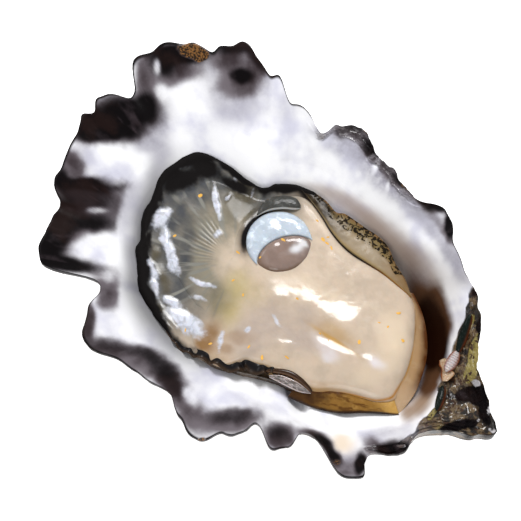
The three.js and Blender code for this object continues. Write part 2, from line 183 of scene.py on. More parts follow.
LIP_DARK = [
    (-35.7, 26.8, 3.4, 2.0, 51, 0.7),
    (-29.6, 30.5, 1.8, 2.7, 18, 0.55),
    (-20.7, -24.6, 1.9, 4.3, 64, 0.75),
    (-19.0, -30.0, 1.0, 3.3, 53, 0.7),
    (-34.2, -20.6, 3.6, 3.0, 60, 0.9),
    (-45.1, 13.5, 4.4, 2.2, 137, 0.85),
    (-40.0, 19.8, 4.0, 1.9, 41, 0.8),
    (-32.2, 27.4, 5.0, 3.7, 30, 0.75),
    (-35.2, -12.9, 7.0, 3.9, 50, 0.95),
    (-19.8, -23.0, 3.6, 1.4, 130, 0.8),
    (-18.9, -26.8, 1.5, 1.7, 53, 0.5),
    (-16.9, -32.6, 4.2, 1.1, 130, 0.85),
    (-11.7, -32.8, 4.8, 2.2, 40, 0.9),
    (-5.7, -29.8, 5.0, 2.6, 19, 0.9),
    (0.9, -29.4, 4.8, 2.3, -14, 0.9),
    (8.0, -31.1, 5.0, 3.1, -29, 0.8),
    (14.4, -27.3, 5.2, 2.9, 47, 0.95),
    (23.2, -23.5, 3.0, 3.2, 42, 0.95),
    (26.6, -18.9, 3.0, 1.4, 33, 0.8),
    (33.9, -20.3, 2.3, 0.9, 110, 0.8),
    (36.4, -18.2, 1.5, 2.1, 41, 0.4),
    (36.5, -13.0, 1.8, 2.5, 40, 0.6),
    (13.7, 30.0, 2.7, 0.7, 12, 0.6),
    (6.4, 30.6, 5.2, 2.0, -7, 0.85),
    (-6.6, 31.4, 3.6, 2.0, 18, 0.85),
    (-0.1, 31.4, 3.6, 1.7, -6, 0.8),
    (-30.3, 24.1, 5.2, 2.5, 35, 0.75),
    (-41.3, 16.4, 2.6, 1.7, 43, 0.7),
    (-43.2, -10.0, 2.8, 2.4, 115, 0.95),
    (-41.6, -9.6, 2.0, 1.3, 115, 0.6),
    (37.2, -20.6, 2.0, 0.8, 47, 0.5),
    (4.0, 30.8, 6.0, 1.1, -8, 0.55),
    (13.0, 29.6, 5.0, 1.0, -4, 0.55),
    (20.5, 28.4, 4.0, 1.0, -20, 0.5),
    (35.6, -20.4, 2.2, 1.8, 40, 0.5),
]
# Mauve-grey patches, partly stain and partly painted shade: the faint long ones are soft lilac shading on the
# lip's slopes
LIP_GREY_AND_SHADE = [
    (-36.7, 24.0, 1.8, 2.2, 42, 0.6),
    (-32.0, -8.5, 1.8, 3.4, 51, 0.6),
    (-31.6, 2.4, 1.6, 4.2, 7, 0.7),
    (-29.5, 20.7, 7.3, 4.7, 30, 0.75),
    (-36.7, 7.4, 3.4, 4.4, 49, 0.8),
    (-42.7, -7.1, 2.7, 2.8, 51, 0.35),
    (-30.5, -22.6, 2.2, 2.4, 51, 0.35),
    (-19.4, 28.0, 3.3, 4.0, -5, 0.3),
    (-16.4, -27.6, 2.2, 4.2, 53, 0.25),
    (-9.2, -24.4, 5.5, 1.8, 15, 0.3),
    (13.1, -20.5, 7.6, 1.4, 22, 0.25),
    (5.2, -24.6, 4.6, 1.9, 6, 0.16),
    (14.3, -21.9, 4.8, 1.6, 23, 0.2),
    (22.0, -17.2, 4.6, 1.6, 24, 0.16),
    (36.0, -8.8, 2.6, 2.0, 45, 0.4),
    (-16.4, -25.5, 2.2, 2.0, -18, 0.2),
    (35.6, -11.4, 3.0, 2.3, 25, 0.55),
    (38.8, -7.2, 3.9, 1.8, 40, 0.5),
    (36.3, -18.0, 1.6, 2.5, 40, 0.5),
    (-11.0, 29.0, 3.0, 1.4, 37, 0.6),
    (25.9, 24.5, 4.8, 1.3, -21, 0.85),
    (-31.1, 10.9, 2.8, 3.6, 60, 0.2),
    (-36.8, 9.9, 3.6, 2.4, 102, 0.5),
    (-37.2, 4.4, 2.8, 1.8, 102, 0.8),
    (-33.2, 4.6, 3.0, 2.0, 93, 0.6),
    (-27.5, 22.1, 4.0, 3.0, 40, 0.4),
    (-29.2, -6.3, 2.6, 7.1, 56, 0.95),
    (-24.1, -13.7, 1.8, 5.0, 58, 0.6),
    (-36.4, 4.4, 3.8, 1.7, 28, 0.6),
    (-25.1, -11.6, 2.3, 6.2, 58, 0.7),
    (-14.6, -18.8, 2.1, 4.4, 85, 0.4),
    (4.9, 30.6, 6.0, 1.8, -8, 0.7),
    (2.0, 28.9, 6.5, 2.0, -8, 0.85),
    (11.5, 28.4, 6.0, 2.0, -4, 0.9),
    (19.6, 27.4, 4.5, 2.0, -12, 0.9),
    (-5.5, 28.9, 4.0, 2.2, 15, 0.55),
    (25.4, 25.2, 4.2, 1.8, -28, 0.75),
    (36.6, -19.3, 2.8, 2.6, 30, 0.9),
]
LIP_TAN = [
    (32.3, -16.1, 2.7, 2.1, -16, 0.8),
    (14.2, -16.0, 2.0, 1.2, 4, 0.5),
]
# Where the lip is kept clean of stains: partly clean white pearl, partly painted highlights where white glint
# streaks cross the dark bands
LIP_CLEAN_AND_GLINTS = [
    (-36.0, -6.5, 2.7, 1.2, 52, 0.5),
    (5.0, -28.6, 2.6, 1.4, -20, 0.7),
    (-40.6, 13.2, 2.0, 1.4, -27, 0.6),
    (-5.8, 30.5, 2.0, 0.9, 1, 0.5),
    (-33.7, 13.9, 4.2, 6.6, 32, 0.9),
    (-44.8, 16.8, 0.8, 1.7, 44, 0.7),
    (-33.9, -13.2, 2.5, 0.8, 52, 0.6),
    (1.6, 29.8, 0.6, 2.2, 15, 0.9),
    (-0.2, 30.7, 1.4, 0.4, 73, 0.6),
    (6.0, 28.3, 0.4, 1.8, 30, 0.5),
    (-36.5, -2.0, 6.1, 2.9, 42, 0.9),
    (-27.4, -18.4, 5.5, 3.0, 47, 0.85),
    (-15.3, -26.1, 4.0, 3.0, 52, 0.5),
]
LIP_RUST = [
    (-42.3, 23.6, 2.6, 1.5, 40, 1.0),
    (-39.7, 24.0, 1.4, 1.1, 38, 0.9),
    (13.0, -33.9, 0.7, 0.7, 44, 0.7),
    (-4.2, 33.4, 1.6, 0.5, -6, 0.6),
    (8.9, 29.8, 1.4, 0.5, -7, 0.6),
    (34.1, -20.0, 1.0, 0.9, 53, 0.5),
]
HINGE_OLIVE = [
    (40.0, 13.1, 4.2, 0.9, 121, 1.0),
    (42.0, 9.7, 1.7, 1.1, 120, 0.9),
    (35.5, 17.5, 1.7, 0.7, 120, 0.8),
    (41.3, -0.8, 1.9, 0.8, 96, 0.8),
    (43.9, -2.0, 2.0, 0.9, 63, 0.5),
]
# Pale chalky spots of the crust, partly painted glints
HINGE_PALE_AND_GLINTS = [
    (40.9, -9.1, 1.3, 0.45, 35, 1.0),
    (43.8, 8.8, 1.1, 0.6, 0, 0.9),
    (49.4, 6.2, 0.7, 1.4, 34, 0.7),
    (51.8, 3.7, 1.3, 0.6, 42, 0.8),
    (48.6, 3.5, 0.9, 0.8, 41, 0.7),
    (46.1, 4.9, 0.9, 0.7, 36, 0.6),
    (33.5, 20.8, 0.8, 1.6, 31, 0.6),
    (40.2, 14.6, 0.5, 2.8, 22, 0.5),
    (42.2, 4.9, 0.9, 1.6, 57, 0.5),
]
BEAK_PIT = (43.7, 6.7, 2.6, 1.8, 54, 1.0)
HINGE_BLACK = [
    BEAK_PIT,
    (40.7, -10.8, 3.8, 2.6, 48, 1.0),
    (46.7, 6.4, 1.7, 1.4, 33, 0.9),
    (46.5, 0.7, 4.6, 1.3, 51, 1.0),
    (49.4, 5.1, 1.2, 2.2, 37, 0.9),
    (36.9, 18.9, 0.5, 4.5, 25, 0.8),
    (38.6, 16.6, 3.2, 0.7, -48, 0.9),
    (42.6, 12.3, 3.2, 0.8, -46, 0.9),
    (46.2, 8.9, 2.8, 0.9, -42, 0.9),
    (33.0, 22.3, 0.9, 1.4, 19, 0.7),
    (45.2, -1.8, 2.4, 1.1, 65, 0.9),
]
# Painted shade: grey-brown on the far wall behind the strip
WALL_SHADE = [
    (15.9, 21.6, 8.4, 2.2, -3, 0.95),
    (7.2, 22.0, 6.0, 1.9, 1, 0.9),
    (-0.3, 21.6, 5.3, 1.5, 11, 0.7),
    (-5.6, 20.1, 4.1, 1.0, 23, 0.5),
]
# Painted shadow: near black deep in the pocket by the hinge
POCKET_SHADOW = [
    (28.2, 15.4, 5.0, 2.3, -43, 1.0),
    (31.6, 12.9, 5.0, 2.2, -58, 1.0),
    (33.9, 10.8, 3.8, 2.0, -64, 1.0),
    (29.2, 11.9, 5.4, 3.0, -50, 0.8),
]
# Painted shade: brown, deepening towards the pocket
WALL_BROWN_SHADE = [
    (19.6, 19.6, 5.0, 2.4, -12, 0.28),
    (22.8, 18.3, 4.8, 2.4, -22, 0.5),
    (25.8, 16.6, 4.6, 2.6, -34, 0.75),
    (28.5, 17.7, 4.8, 1.7, -40, 0.9),
    (32.2, 15.0, 3.4, 1.5, -52, 0.9),
    (35.8, 7.6, 3.6, 2.1, -66, 0.95),
    (37.2, 4.0, 2.8, 1.8, -72, 0.85),
]
# Painted warm light: tan on the wall, thrown by the belly
WALL_WARM_LIGHT = [
    (37.9, 1.4, 2.8, 1.9, -75, 0.95),
    (38.5, -0.8, 2.4, 1.7, -80, 0.9),
    (37.3, -2.7, 2.4, 1.6, -55, 0.9),
    (25.4, 20.0, 4.0, 1.0, -30, 0.5),
]
EDGE_LINE = {"start": 0.96, "strength": 0.95}
# Painted shade on the lip just outside the mantle's edge: the side about which it lies, its width as a share
# of the hollow at the bill end and further round, and its strength
SHADE = {"side": (212, 44, 66, 6), "width_at_bill": 0.12, "width_near": 0.21, "strength": 0.82}

# Edge of the rim: how far it is nibbled and rounded, the stains and painted glints that end on it, and where
# the outer face's colours start, as a share of the rim's reach and as their strength on the edge
NIBBLE = 1.1
EDGE_ROUND = 0.15
EDGE_STAINS_AND_GLINTS = ("olive", "chalk_and_glints", "soot", "rust")
OUTSIDE = {"starts": 0.9, "on_edge": 0.6}

# Rough crust: the hinge plate and beak beyond a line across the shell, the broken edge of the far side, and a
# patch on the near edge. The line's reach steps out where the beak begins. A side is its bearing, the degrees
# that it takes to fade before and after that bearing, and how blunt it is.
HINGE_CRUST = {"side": (12, 31, 25, 8), "reach": 38.4, "step": 2.6}
BEAK_PIT_DEPTH = 1.4
CRUST_STEP = {"length": 1.6, "depth": 0.5}
BROKEN_EDGE = {"side": (90, 24, 24, 6), "start": 0.7, "fade": 0.16}
NEAR_CRUST = {"side": (344.5, 6.5, 6.5, 4), "start": 0.52, "fade": 0.1}

# Belly: places round its edge, the heights of its dome, which falls to the near side, and its soft folds as
# x, y, half length, half width, turn and rise
BELLY_MIDDLE = (11.0, -1.0)
BELLY_EDGE = [
    (33.2, 3.3), (31.2, 7.6), (28.9, 11.2), (26.6, 13.9), (24.0, 15.8), (20.4, 16.6), (16.8, 16.8),
    (13.8, 16.5), (10.5, 15.9), (7.1, 15.8), (3.9, 16.4), (-0.1, 17.0), (-4.7, 17.5), (-7.8, 16.5),
    (-10.2, 13.2), (-12.2, 8.5), (-12.0, 3.5), (-10.7, -2.1), (-9.3, -7.8), (-7.6, -13.1), (-5.3, -17.9),
    (-2.0, -20.4), (1.6, -20.6), (5.1, -19.7), (8.0, -16.6), (12.4, -14.6), (16.9, -13.4), (21.1, -12.1),
    (24.3, -9.8), (26.9, -8.0), (29.6, -6.6), (32.3, -5.1), (34.1, -2.7), (33.8, -0.1),
]
BELLY_CROWN = {"top": 16.1, "shoulder": 15.3, "fall": 0.035, "edge": 9.5, "lip": 1.1, "bluntness": 18}
BELLY_FOLDS = [
    (18.0, 1.9, 10.0, 3.2, 17, 0.75),
    (22.6, -2.8, 7.6, 2.6, 19, 0.6),
    (18.2, -1.8, 5.0, 1.2, 10, -0.3),
    (4.0, -2.4, 1.9, 1.3, 40, 0.28),
    (27.0, -0.4, 2.8, 1.5, 10, 0.5),
    (7.0, -8.6, 2.6, 0.8, 65, 0.16),
    (11.5, -8.7, 3.2, 0.9, 35, 0.18),
    (15.0, -8.0, 3.0, 0.9, 30, 0.18),
    (7.2, -13.6, 2.4, 0.8, 60, 0.16),
]
BELLY_AMBER = 0.965

# Sides of the belly about its own middle
BELLY_BILL_END = (188, 55, 52, 8)
BELLY_HINGE_END = (0, 38, 48, 6)
BELLY_LOW_SIDE = (300, 55, 40, 6)
BELLY_CALM_SIDE = (80, 65, 60, 6)

# Sheet: the soft tissue between the belly and the wall, nearly level, with a dip at a share of the hollow
SHEET = {"level": 15.4, "dip": 0.7, "dip_at": 0.62, "dip_spread": 0.2, "near_drop": 1.7, "far_drop": 2.0}

# Soft patches of colour on the flesh: x, y, half length, half width, turn and strength
FLESH_GREY = [
    (5.2, -8.2, 5.8, 4.4, 21, 0.8),
    (5.8, -13.8, 3.8, 2.8, 42, 0.6),
    (10.9, -2.1, 4.2, 2.4, 21, 0.6),
    (18.0, -3.0, 5.0, 2.0, 26, 0.5),
    (12.8, -6.2, 3.6, 2.4, 10, 0.7),
]
FLESH_LIGHT = [
    (26.0, 5.9, 3.1, 5.2, 42, 0.8),
    (27.9, -1.4, 4.6, 2.3, 62, 0.6),
    (12.1, 3.9, 5.0, 2.0, 20, 0.5),
    (5.8, 2.3, 4.7, 2.5, 20, 0.4),
]
# Painted highlights: pale glints on the wet belly
FLESH_SHEEN = [
    (17.6, -3.9, 2.9, 1.4, 0, 0.8),
    (26.9, 0.2, 1.9, 1.1, 5, 0.7),
    (19.5, -5.0, 1.6, 0.8, 20, 0.6),
]
FLESH_GOLDEN = [
    (-2.6, -9.9, 2.9, 4.6, 42, 0.9),
    (-3.6, -5.4, 2.6, 3.0, 42, 0.7),
    (-0.5, -5.5, 3.1, 3.2, 42, 0.4),
]
FLESH_BROWN = [
    (-0.8, -16.8, 3.2, 1.9, 113, 0.9),
    (-0.3, -18.5, 1.8, 1.3, 42, 0.95),
    (3.7, -13.9, 3.0, 1.6, 42, 0.45),
    (3.2, -17.4, 2.2, 1.2, 30, 0.6),
]
FLESH_BLACK = [
    (-27.0, 3.5, 5.3, 2.7, 69, 1.0),
    (-24.8, 8.9, 3.5, 2.1, 15, 1.0),
    (-18.2, 10.2, 3.5, 1.2, 12, 1.0),
    (-10.6, 16.2, 6.6, 1.3, 46, 1.0),
    (-5.6, 18.6, 3.4, 1.3, 4, 1.0),
    (-22.6, -9.9, 2.5, 0.7, 128, 0.85),
    (-14.4, -19.5, 2.2, 0.5, -23, 0.8),
]
FLESH_SLATE = [
    (-22.5, -1.5, 4.8, 2.6, 123, 0.95),
    (-16.6, -6.0, 5.6, 1.8, 128, 0.9),
    (-13.5, -12.0, 4.4, 2.3, 123, 0.8),
    (-12.1, -18.0, 3.7, 1.5, -9, 0.8),
    (-20.1, 6.8, 3.2, 4.0, 42, 0.6),
]
FLESH_OLIVE = [
    (-20.2, -11.3, 2.1, 1.1, 124, 0.9),
    (-15.1, -14.1, 3.8, 0.9, -33, 0.9),
    (-14.8, 8.0, 3.1, 4.5, 42, 0.85),
    (-15.7, 12.9, 3.2, 1.7, 31, 0.8),
    (-11.1, -19.9, 2.1, 1.0, -19, 0.7),
    (-4.5, -10.5, 2.6, 3.2, 42, 0.35),
]
# Pale bluish patches of the soft body: partly pale tissue, partly painted wet highlights
FLESH_PALE_AND_GLINTS = [
    (-24.6, -4.8, 2.3, 1.6, 104, 1.0),
    (-18.2, -9.2, 4.1, 1.0, -31, 1.0),
    (-18.9, -14.2, 2.4, 1.0, -14, 1.0),
    (-15.2, -16.8, 2.1, 0.7, -33, 0.9),
    (-6.1, -17.7, 3.9, 1.6, 3, 0.95),
    (-10.8, -16.5, 1.5, 0.7, 21, 0.8),
    (-9.1, -9.9, 2.2, 0.6, 15, 0.85),
    (-7.7, -12.7, 2.1, 0.5, 21, 0.6),
    (-18.8, 5.2, 3.5, 0.5, -35, 0.9),
    (-17.3, 7.3, 1.1, 0.5, 113, 0.7),
    (-13.3, -0.4, 1.1, 0.7, 104, 0.7),
    (-18.8, 11.0, 2.6, 0.3, -44, 0.5),
    (-14.4, 11.0, 1.0, 0.4, 104, 0.5),
    (1.8, -16.4, 2.2, 0.5, 127, 0.8),
    (4.0, -10.9, 0.7, 0.5, 103, 0.8),
    (7.2, -6.4, 1.6, 0.45, -20, 0.7),
]
# Painted shade along the crease between the belly's two main folds and on the lower flank of the upper fold
FLESH_CREASE_SHADE = [
    (18.2, -1.8, 5.0, 0.5, 7, 0.9),
    (17.3, -0.7, 4.2, 1.8, 12, 0.45),
]

# Colours of the bill end by the share of the hollow: where the veil and the slate come in, and the width of
# the black margin inside the mantle's edge
BILL_SIDE = (190, 78, 66, 6)
VEIL_SHARES = (0.2, 0.46)
SLATE_SHARES = (0.44, 0.66)
MARGIN = {"side": (195, 95, 76, 6), "far": 0.1, "near": 0.09, "fade": 0.04}

# Muscle: an upright column, split into a quick bean and a catch crescent, in a shallow well of the flesh
MUSCLE = {"x": -3.2, "y": 6.4, "radius": 6.5, "top": 16.8, "crown": 0.7, "foot": 6.5}
BEAN = {"x": 0.0, "y": 5.1, "half_length": 6.0, "half_width": 3.9, "turn": 62.0}
# Painted highlights on the bean
BEAN_SHEEN = [
    (0.7, 8.0, 1.5, 1.0, 60, 0.85),
    (1.2, 9.3, 0.8, 0.5, 20, 0.7),
]
MUSCLE_GAP = 0.12
MUSCLE_WELL = {"height": 16.1, "spread": 3.5}
# Sides about the muscle where painted shade darkens the gap beside it, black close in and brown further out
GAP_SHADE_SIDE = (196, 42, 42, 4)
WELL_SHADE_SIDE = (196, 48, 48, 4)

# Gills: a fan of fine plates from a root by the muscle out to a share of the hollow
GILLS = {"start": 96.0, "stop": 284.0, "root_x": -7.0, "root_y": -2.4, "plates": 48, "plate_height": 0.06}
GILL_REACH = {"far": 0.74, "near": 0.6}
GILLS_SHOW = (194, 24, 24, 4)

# Mantle: a band between the gills or belly and the wall of the hollow, open at the hinge
MANTLE = {"start": 30.0, "stop": 354.0, "inner": 0.5, "outer": 0.93, "low": 10.6}
MANTLE_DRAWN_IN = [
    (88, 0.1, 13),
    (122, 0.062, 28),
    (140, 0.035, 9.5),
    (166, 0.015, 8),
    (192, 0.075, 14),
    (211, 0.045, 11),
    (316, 0.1, 48),
]

# Thin pieces of flesh: a fold's path, or a leaf's left and right edges, through places as x, y and height
BLACK_TABS = [
    (-8.7, -20.9, 14.2), (-3.8, -21.6, 14.3), (-0.5, -20.7, 14.3), (2.4, -19.5, 14.4), (6.6, -18.2, 14.5),
    (8.0, -16.0, 14.5), (10.6, -15.3, 14.5), (12.0, -13.9, 14.5), (15.1, -12.6, 14.4), (18.2, -11.9, 14.2),
]
FAR_STRIP = [
    [
        (-7.5, 18.0, 14.9), (-4.0, 17.2, 15.0), (-0.5, 16.1, 15.5), (2.9, 14.9, 15.8), (6.1, 14.2, 15.8),
        (9.2, 14.2, 15.6), (12.9, 14.6, 15.5), (16.3, 15.1, 15.3), (19.9, 15.2, 15.0), (23.3, 15.2, 13.9),
    ],
    [
        (-7.2, 18.3, 14.7), (-4.7, 19.3, 14.9), (-1.9, 19.4, 15.0), (0.9, 18.9, 15.1), (2.5, 19.8, 15.1),
        (5.4, 20.1, 15.0), (8.0, 20.3, 14.9), (10.3, 20.6, 14.8), (13.3, 20.2, 14.7), (16.7, 18.5, 14.5),
        (20.0, 17.4, 14.2), (23.3, 15.5, 13.9),
    ],
]
DARK_THREAD = [
    (-7.5, 18.0, 15.2), (-4.0, 17.2, 15.2), (-0.5, 16.1, 15.7), (2.9, 14.8, 16.0), (6.1, 14.1, 16.0),
    (9.2, 14.0, 15.8), (12.9, 14.5, 15.7), (16.3, 15.0, 15.5), (19.9, 15.1, 15.2), (23.3, 15.2, 14.1),
]
TAWNY_STRIP = [
    [
        (18.2, -14.2, 13.7), (20.8, -12.0, 13.8), (22.7, -10.1, 13.9), (24.8, -8.5, 13.9),
        (27.0, -7.0, 13.8), (30.5, -5.7, 13.7), (32.6, -4.1, 13.6), (33.7, -2.4, 13.4),
    ],
    [
        (18.2, -15.4, 13.3), (21.9, -14.4, 13.3), (25.2, -13.0, 13.3), (28.4, -10.9, 13.3),
        (30.6, -8.8, 13.3), (33.5, -6.3, 13.3), (35.2, -5.1, 13.3), (36.5, -4.2, 13.3),
    ],
]
HINGE_FLAP = [
    [
        (21.4, 15.5, 13.5), (24.5, 13.6, 13.7), (27.0, 11.1, 13.8), (29.2, 8.4, 13.8), (31.0, 5.8, 13.8),
        (32.4, 2.3, 13.7), (33.0, -0.5, 13.5), (33.5, -3.4, 13.1),
    ],
    [
        (22.9, 16.5, 13.3), (26.5, 14.8, 13.0), (29.4, 12.7, 12.6), (31.9, 10.1, 12.4), (33.8, 7.2, 12.4),
        (35.3, 3.6, 12.6), (36.1, 0.6, 12.8), (36.4, -4.0, 13.0),
    ],
]
BROWN_FOLD = [
    (12.0, -14.8, 14.8), (13.5, -13.5, 14.9), (15.5, -12.3, 15.0), (17.6, -11.8, 14.9), (19.6, -11.8, 14.7),
    (21.3, -12.0, 14.3),
]
PINK_LEAF = [
    [
        (13.0, -15.0, 14.8), (14.6, -13.7, 15.0), (16.5, -12.9, 15.0), (18.6, -12.4, 14.9),
        (21.2, -12.3, 14.5),
    ],
    [
        (13.2, -15.2, 14.4), (15.0, -14.8, 14.3), (17.4, -14.2, 14.2), (19.5, -13.5, 14.1),
        (21.3, -12.3, 14.2),
    ],
]
MEMBRANE_TAB = [
    [
        (-10.5, 8.0, 15.5), (-11.2, 10.9, 15.7), (-9.6, 14.0, 15.8), (-7.0, 15.6, 15.8), (-5.2, 15.2, 15.7),
    ],
    [
        (-10.2, 7.8, 15.6), (-9.1, 9.9, 16.0), (-7.3, 12.0, 16.1), (-5.3, 13.6, 16.0), (-4.7, 14.6, 15.7),
    ],
]
STRAP_FAR = [(34.7, 18.6, 18.9), (36.0, 15.3, 17.8), (37.4, 11.6, 17.0)]
STRAP_NEAR = [(39.4, 4.9, 16.6), (40.6, 2.6, 17.0), (41.6, 0.1, 17.4)]
TORN_MIDDLE = [(37.2, 11.9, 16.9), (37.7, 9.8, 16.6), (38.0, 7.4, 16.4)]
HINGE_TUFT = [
    [
        (35.3, 9.4, 12.6), (36.0, 8.4, 13.4), (36.9, 7.8, 14.2), (37.6, 6.6, 15.0), (38.6, 5.6, 15.9),
    ],
    [
        (35.9, 10.2, 13.6), (37.5, 9.9, 15.4), (38.3, 8.6, 16.0), (39.6, 8.0, 16.9), (39.5, 6.1, 16.9),
    ],
]

# Places in plan of the golden flecks, which stand in for small warm glints: painted highlights
WARM_GLINT_FLECKS = [
    (4.1, 12.3), (3.0, 12.4), (5.4, 12.1), (3.4, 13.4), (-0.5, 14.7), (-7.9, -0.5), (-3.7, 1.3), (-2.6, 6.9),
    (-21.8, 3.7), (-19.8, -6.0), (-4.7, -5.5), (-1.2, -6.5), (7.3, -0.3), (-5.0, -19.0), (0.4, -17.8),
    (6.6, -13.6), (9.8, -13.4), (13.4, -10.3), (21.9, 1.0), (23.7, 10.6), (24.0, 7.1), (22.2, 6.6),
    (27.8, 7.0), (15.1, -2.6), (17.2, -2.6),
]

# How finely each skin is divided
SHELL_BEARINGS = 600
BOWL_RINGS, LIP_RINGS, EDGE_RINGS, OUTER_RINGS = 28, 52, 5, 58
BELLY_ANGLES, BELLY_TOP_RINGS, BELLY_UNDER_RINGS = 260, 96, 12
GILL_ROWS, GILL_TOP_COLUMNS, GILL_UNDER_COLUMNS = 700, 44, 6
MANTLE_ROWS, MANTLE_TOP_COLUMNS, MANTLE_UNDER_COLUMNS = 900, 34, 8
MUSCLE_ANGLES, MUSCLE_TOP_RINGS, MUSCLE_SIDE_RINGS = 160, 24, 7
CRESCENT_ROWS, CRESCENT_COLUMNS, CRESCENT_SIDE_STEPS = 180, 18, 5
LEAF_COLUMNS = 26

# Noise: how many random values it has, and how far apart neighbours along x, y and z lie among them
NOISE_TABLE = 4096
NOISE_STRIDES = (73, 1179, 2903)

MATTE_BLACK = (0.006, 0.005, 0.005)
DROP_FROM = 40.0
CAMERA_PLACE = Vector((0.058907, -0.070987, 0.282021))
CAMERA_AIM = Vector((-0.004166, 0.000305, 0.020493))


def turn_from(start, bearing):
    """The signed turn from one bearing to another, between -180 and 180 degrees."""
    return (bearing - start + 180) % 360 - 180


def bearing_of(x, y):
    """Bearing of a place in plan, from 0 to 360 degrees."""
    return np.degrees(np.arctan2(y, x)) % 360


def bump(distance, before, after=None, blunt=2.0):
    """A hump of height 1: e to the minus |distance / fade| to a power, with its own fade on either side."""
    fade = np.where(distance < 0, before, before if after is None else after)
    return np.exp(-np.abs(distance / fade) ** blunt)


def within(side, bearing):
    """How far a bearing lies within a side, from 0 to 1: a blunt hump about the side's own bearing."""
    at, before, after, blunt = side
    return bump(turn_from(at, bearing), before, after, blunt)


def smooth_min(a, b, fillet):
    """The lower of two heights, with the corner between them rounded over the given height."""
    return np.minimum(a, b) - np.maximum(fillet - np.abs(a - b), 0) ** 2 / (4 * fillet)


def ease(low, high, x):
    """0 below low, 1 above high and a smooth S between: 3 t squared less 2 t cubed."""
    share = np.clip((x - low) / (high - low), 0, 1)
    return share * share * (3 - 2 * share)


def between(a, b, share):
    """The value that lies a share of the way from a to b."""
    return a + (b - a) * share


def grain(points, size, seed):
    """Value noise from 0 to 1: a random number at each corner of a cube lattice, eased between corners."""
    table = np.random.default_rng(seed).random(NOISE_TABLE)
    cell = np.floor(points / size).astype(np.int64)
    part = points / size - cell
    part = part * part * (3 - 2 * part)
    total = 0.0
    for corner in np.ndindex(2, 2, 2):
        weight = np.where(np.array(corner) == 1, part, 1 - part).prod(-1)
        key = ((cell + np.array(corner)) * np.array(NOISE_STRIDES)).sum(-1)
        total = total + weight * table[key % NOISE_TABLE]
    return total


def crags(points, size, seed, octaves=3):
    """Noise about 0, from -1 to 1: grain at halving sizes, each at half the strength of the last."""
    shares = [0.5 ** k for k in range(octaves)]
    total = sum(share * grain(points, size * share, seed + k) for k, share in enumerate(shares))
    return 2 * total / sum(shares) - 1


def level_points(x, y):
    """Points in the plane of the plan, where noise is read."""
    return np.stack(np.broadcast_arrays(x, y, 0.0), -1)


def in_plan(bearing, reach, height=0.0):
    """Points at the bearings and reaches."""
    angle = np.radians(bearing)
    x, y, z = np.broadcast_arrays(reach * np.cos(angle), reach * np.sin(angle), height)
    return np.stack([x, y, z], -1)


def oval_reach(bearing, half_length, half_width, x=0.0, y=0.0):
    """Distance from the middle to an oval that may lie off it: the root of the ray's quadratic."""
    along = np.cos(np.radians(bearing)) / half_length
    across = np.sin(np.radians(bearing)) / half_width
    a = along ** 2 + across ** 2
    b = along * x / half_length + across * y / half_width
    c = (x / half_length) ** 2 + (y / half_width) ** 2 - 1
    return (b + np.sqrt(b ** 2 - a * c)) / a


def oval_distance(x, y, at_x, at_y, half_length, half_width, turn):
    """Distance from the middle of a turned oval, in its own half sizes, so 1 is its outline."""
    cos, sin = np.cos(np.radians(turn)), np.sin(np.radians(turn))
    along = ((x - at_x) * cos + (y - at_y) * sin) / half_length
    across = ((y - at_y) * cos - (x - at_x) * sin) / half_width
    return np.hypot(along, across)


def patches(x, y, spots, ragged=0.7):
    """Soft oval patches together: each is its strength times e to the minus the cube of the distance in its
    turned half sizes, with outlines made ragged by noise."""
    flat = level_points(x, y)
    x = x + ragged * crags(flat, 3.2, 121)
    y = y + ragged * crags(flat, 3.2, 125)
    rest = 1.0
    for *oval, strength in spots:
        rest = rest * (1 - strength * np.exp(-oval_distance(x, y, *oval) ** 3))
    return 1 - rest


def grown(spots, factor, strength):
    """The same patches, larger by a factor and at a share of their strength."""
    return [(x, y, factor * a, factor * b, turn, strength * s) for x, y, a, b, turn, s in spots]


def smooth_path(points, count):
    """A curve through given points: on each stretch a cubic whose end slopes are half the step between the
    neighbours of that end."""
    points = np.asarray(points, float)
    padded = np.concatenate([2 * points[:1] - points[1:2], points, 2 * points[-1:] - points[-2:-1]])
    at = np.linspace(0, len(points) - 1, count)
    stretch = np.minimum(at.astype(int), len(points) - 2)
    t = (at - stretch)[:, None]
    p0, p1, p2, p3 = (padded[stretch + k] for k in range(4))
    square = 2 * p0 - 5 * p1 + 4 * p2 - p3
    cube = 3 * p1 - p0 - 3 * p2 + p3
    return 0.5 * (2 * p1 + (p2 - p0) * t + square * t ** 2 + cube * t ** 3)


def flute_sum(bearing, column):
    """Every flute's hump together, each times its value in the given column of FLUTES."""
    return sum(flute[column] * bump(turn_from(flute[0], bearing), *flute[3:]) for flute in FLUTES)


def rim_reach(bearing):
    """Reach of the rim: the plain oval plus every flute's hump."""
    return oval_reach(bearing, HALF_LENGTH, HALF_WIDTH) + flute_sum(bearing, 1)


def rim_height(bearing):
    """Height of the unfluted rim: level, with a fall to the hinge and a rise to the far side."""
    angle = np.radians(bearing)
    return RIM_HEIGHT - RIM_FALL_TO_HINGE * np.cos(angle) + RIM_RISE_TO_FAR_SIDE * np.sin(angle)


def hollow_reach(bearing):
    """Reach of the soft body's hollow: an oval off the middle plus its bulges."""
    oval = oval_reach(bearing, MOUTH["half_length"], MOUTH["half_width"], MOUTH["x"], MOUTH["y"])
    return oval + sum(out * bump(turn_from(at, bearing), spread) for at, out, spread in MOUTH_BULGES)


def mouth_reach(bearing):
    """Reach of the shell's mouth: the hollow, widened into a pocket by the hinge."""
    widening = bump(turn_from(POCKET_WIDENING["bearing"], bearing), POCKET_WIDENING["spread"])
    return hollow_reach(bearing) + POCKET_WIDENING["out"] * widening


def mantle_edge(bearing):
    """The share of the hollow that the mantle's skirt reaches: nearly all, less where it is drawn in."""
    drawn_in = [
        amount * bump(turn_from(at, bearing), spread, blunt=4) for at, amount, spread in MANTLE_DRAWN_IN
    ]
    return MANTLE["outer"] - sum(drawn_in)


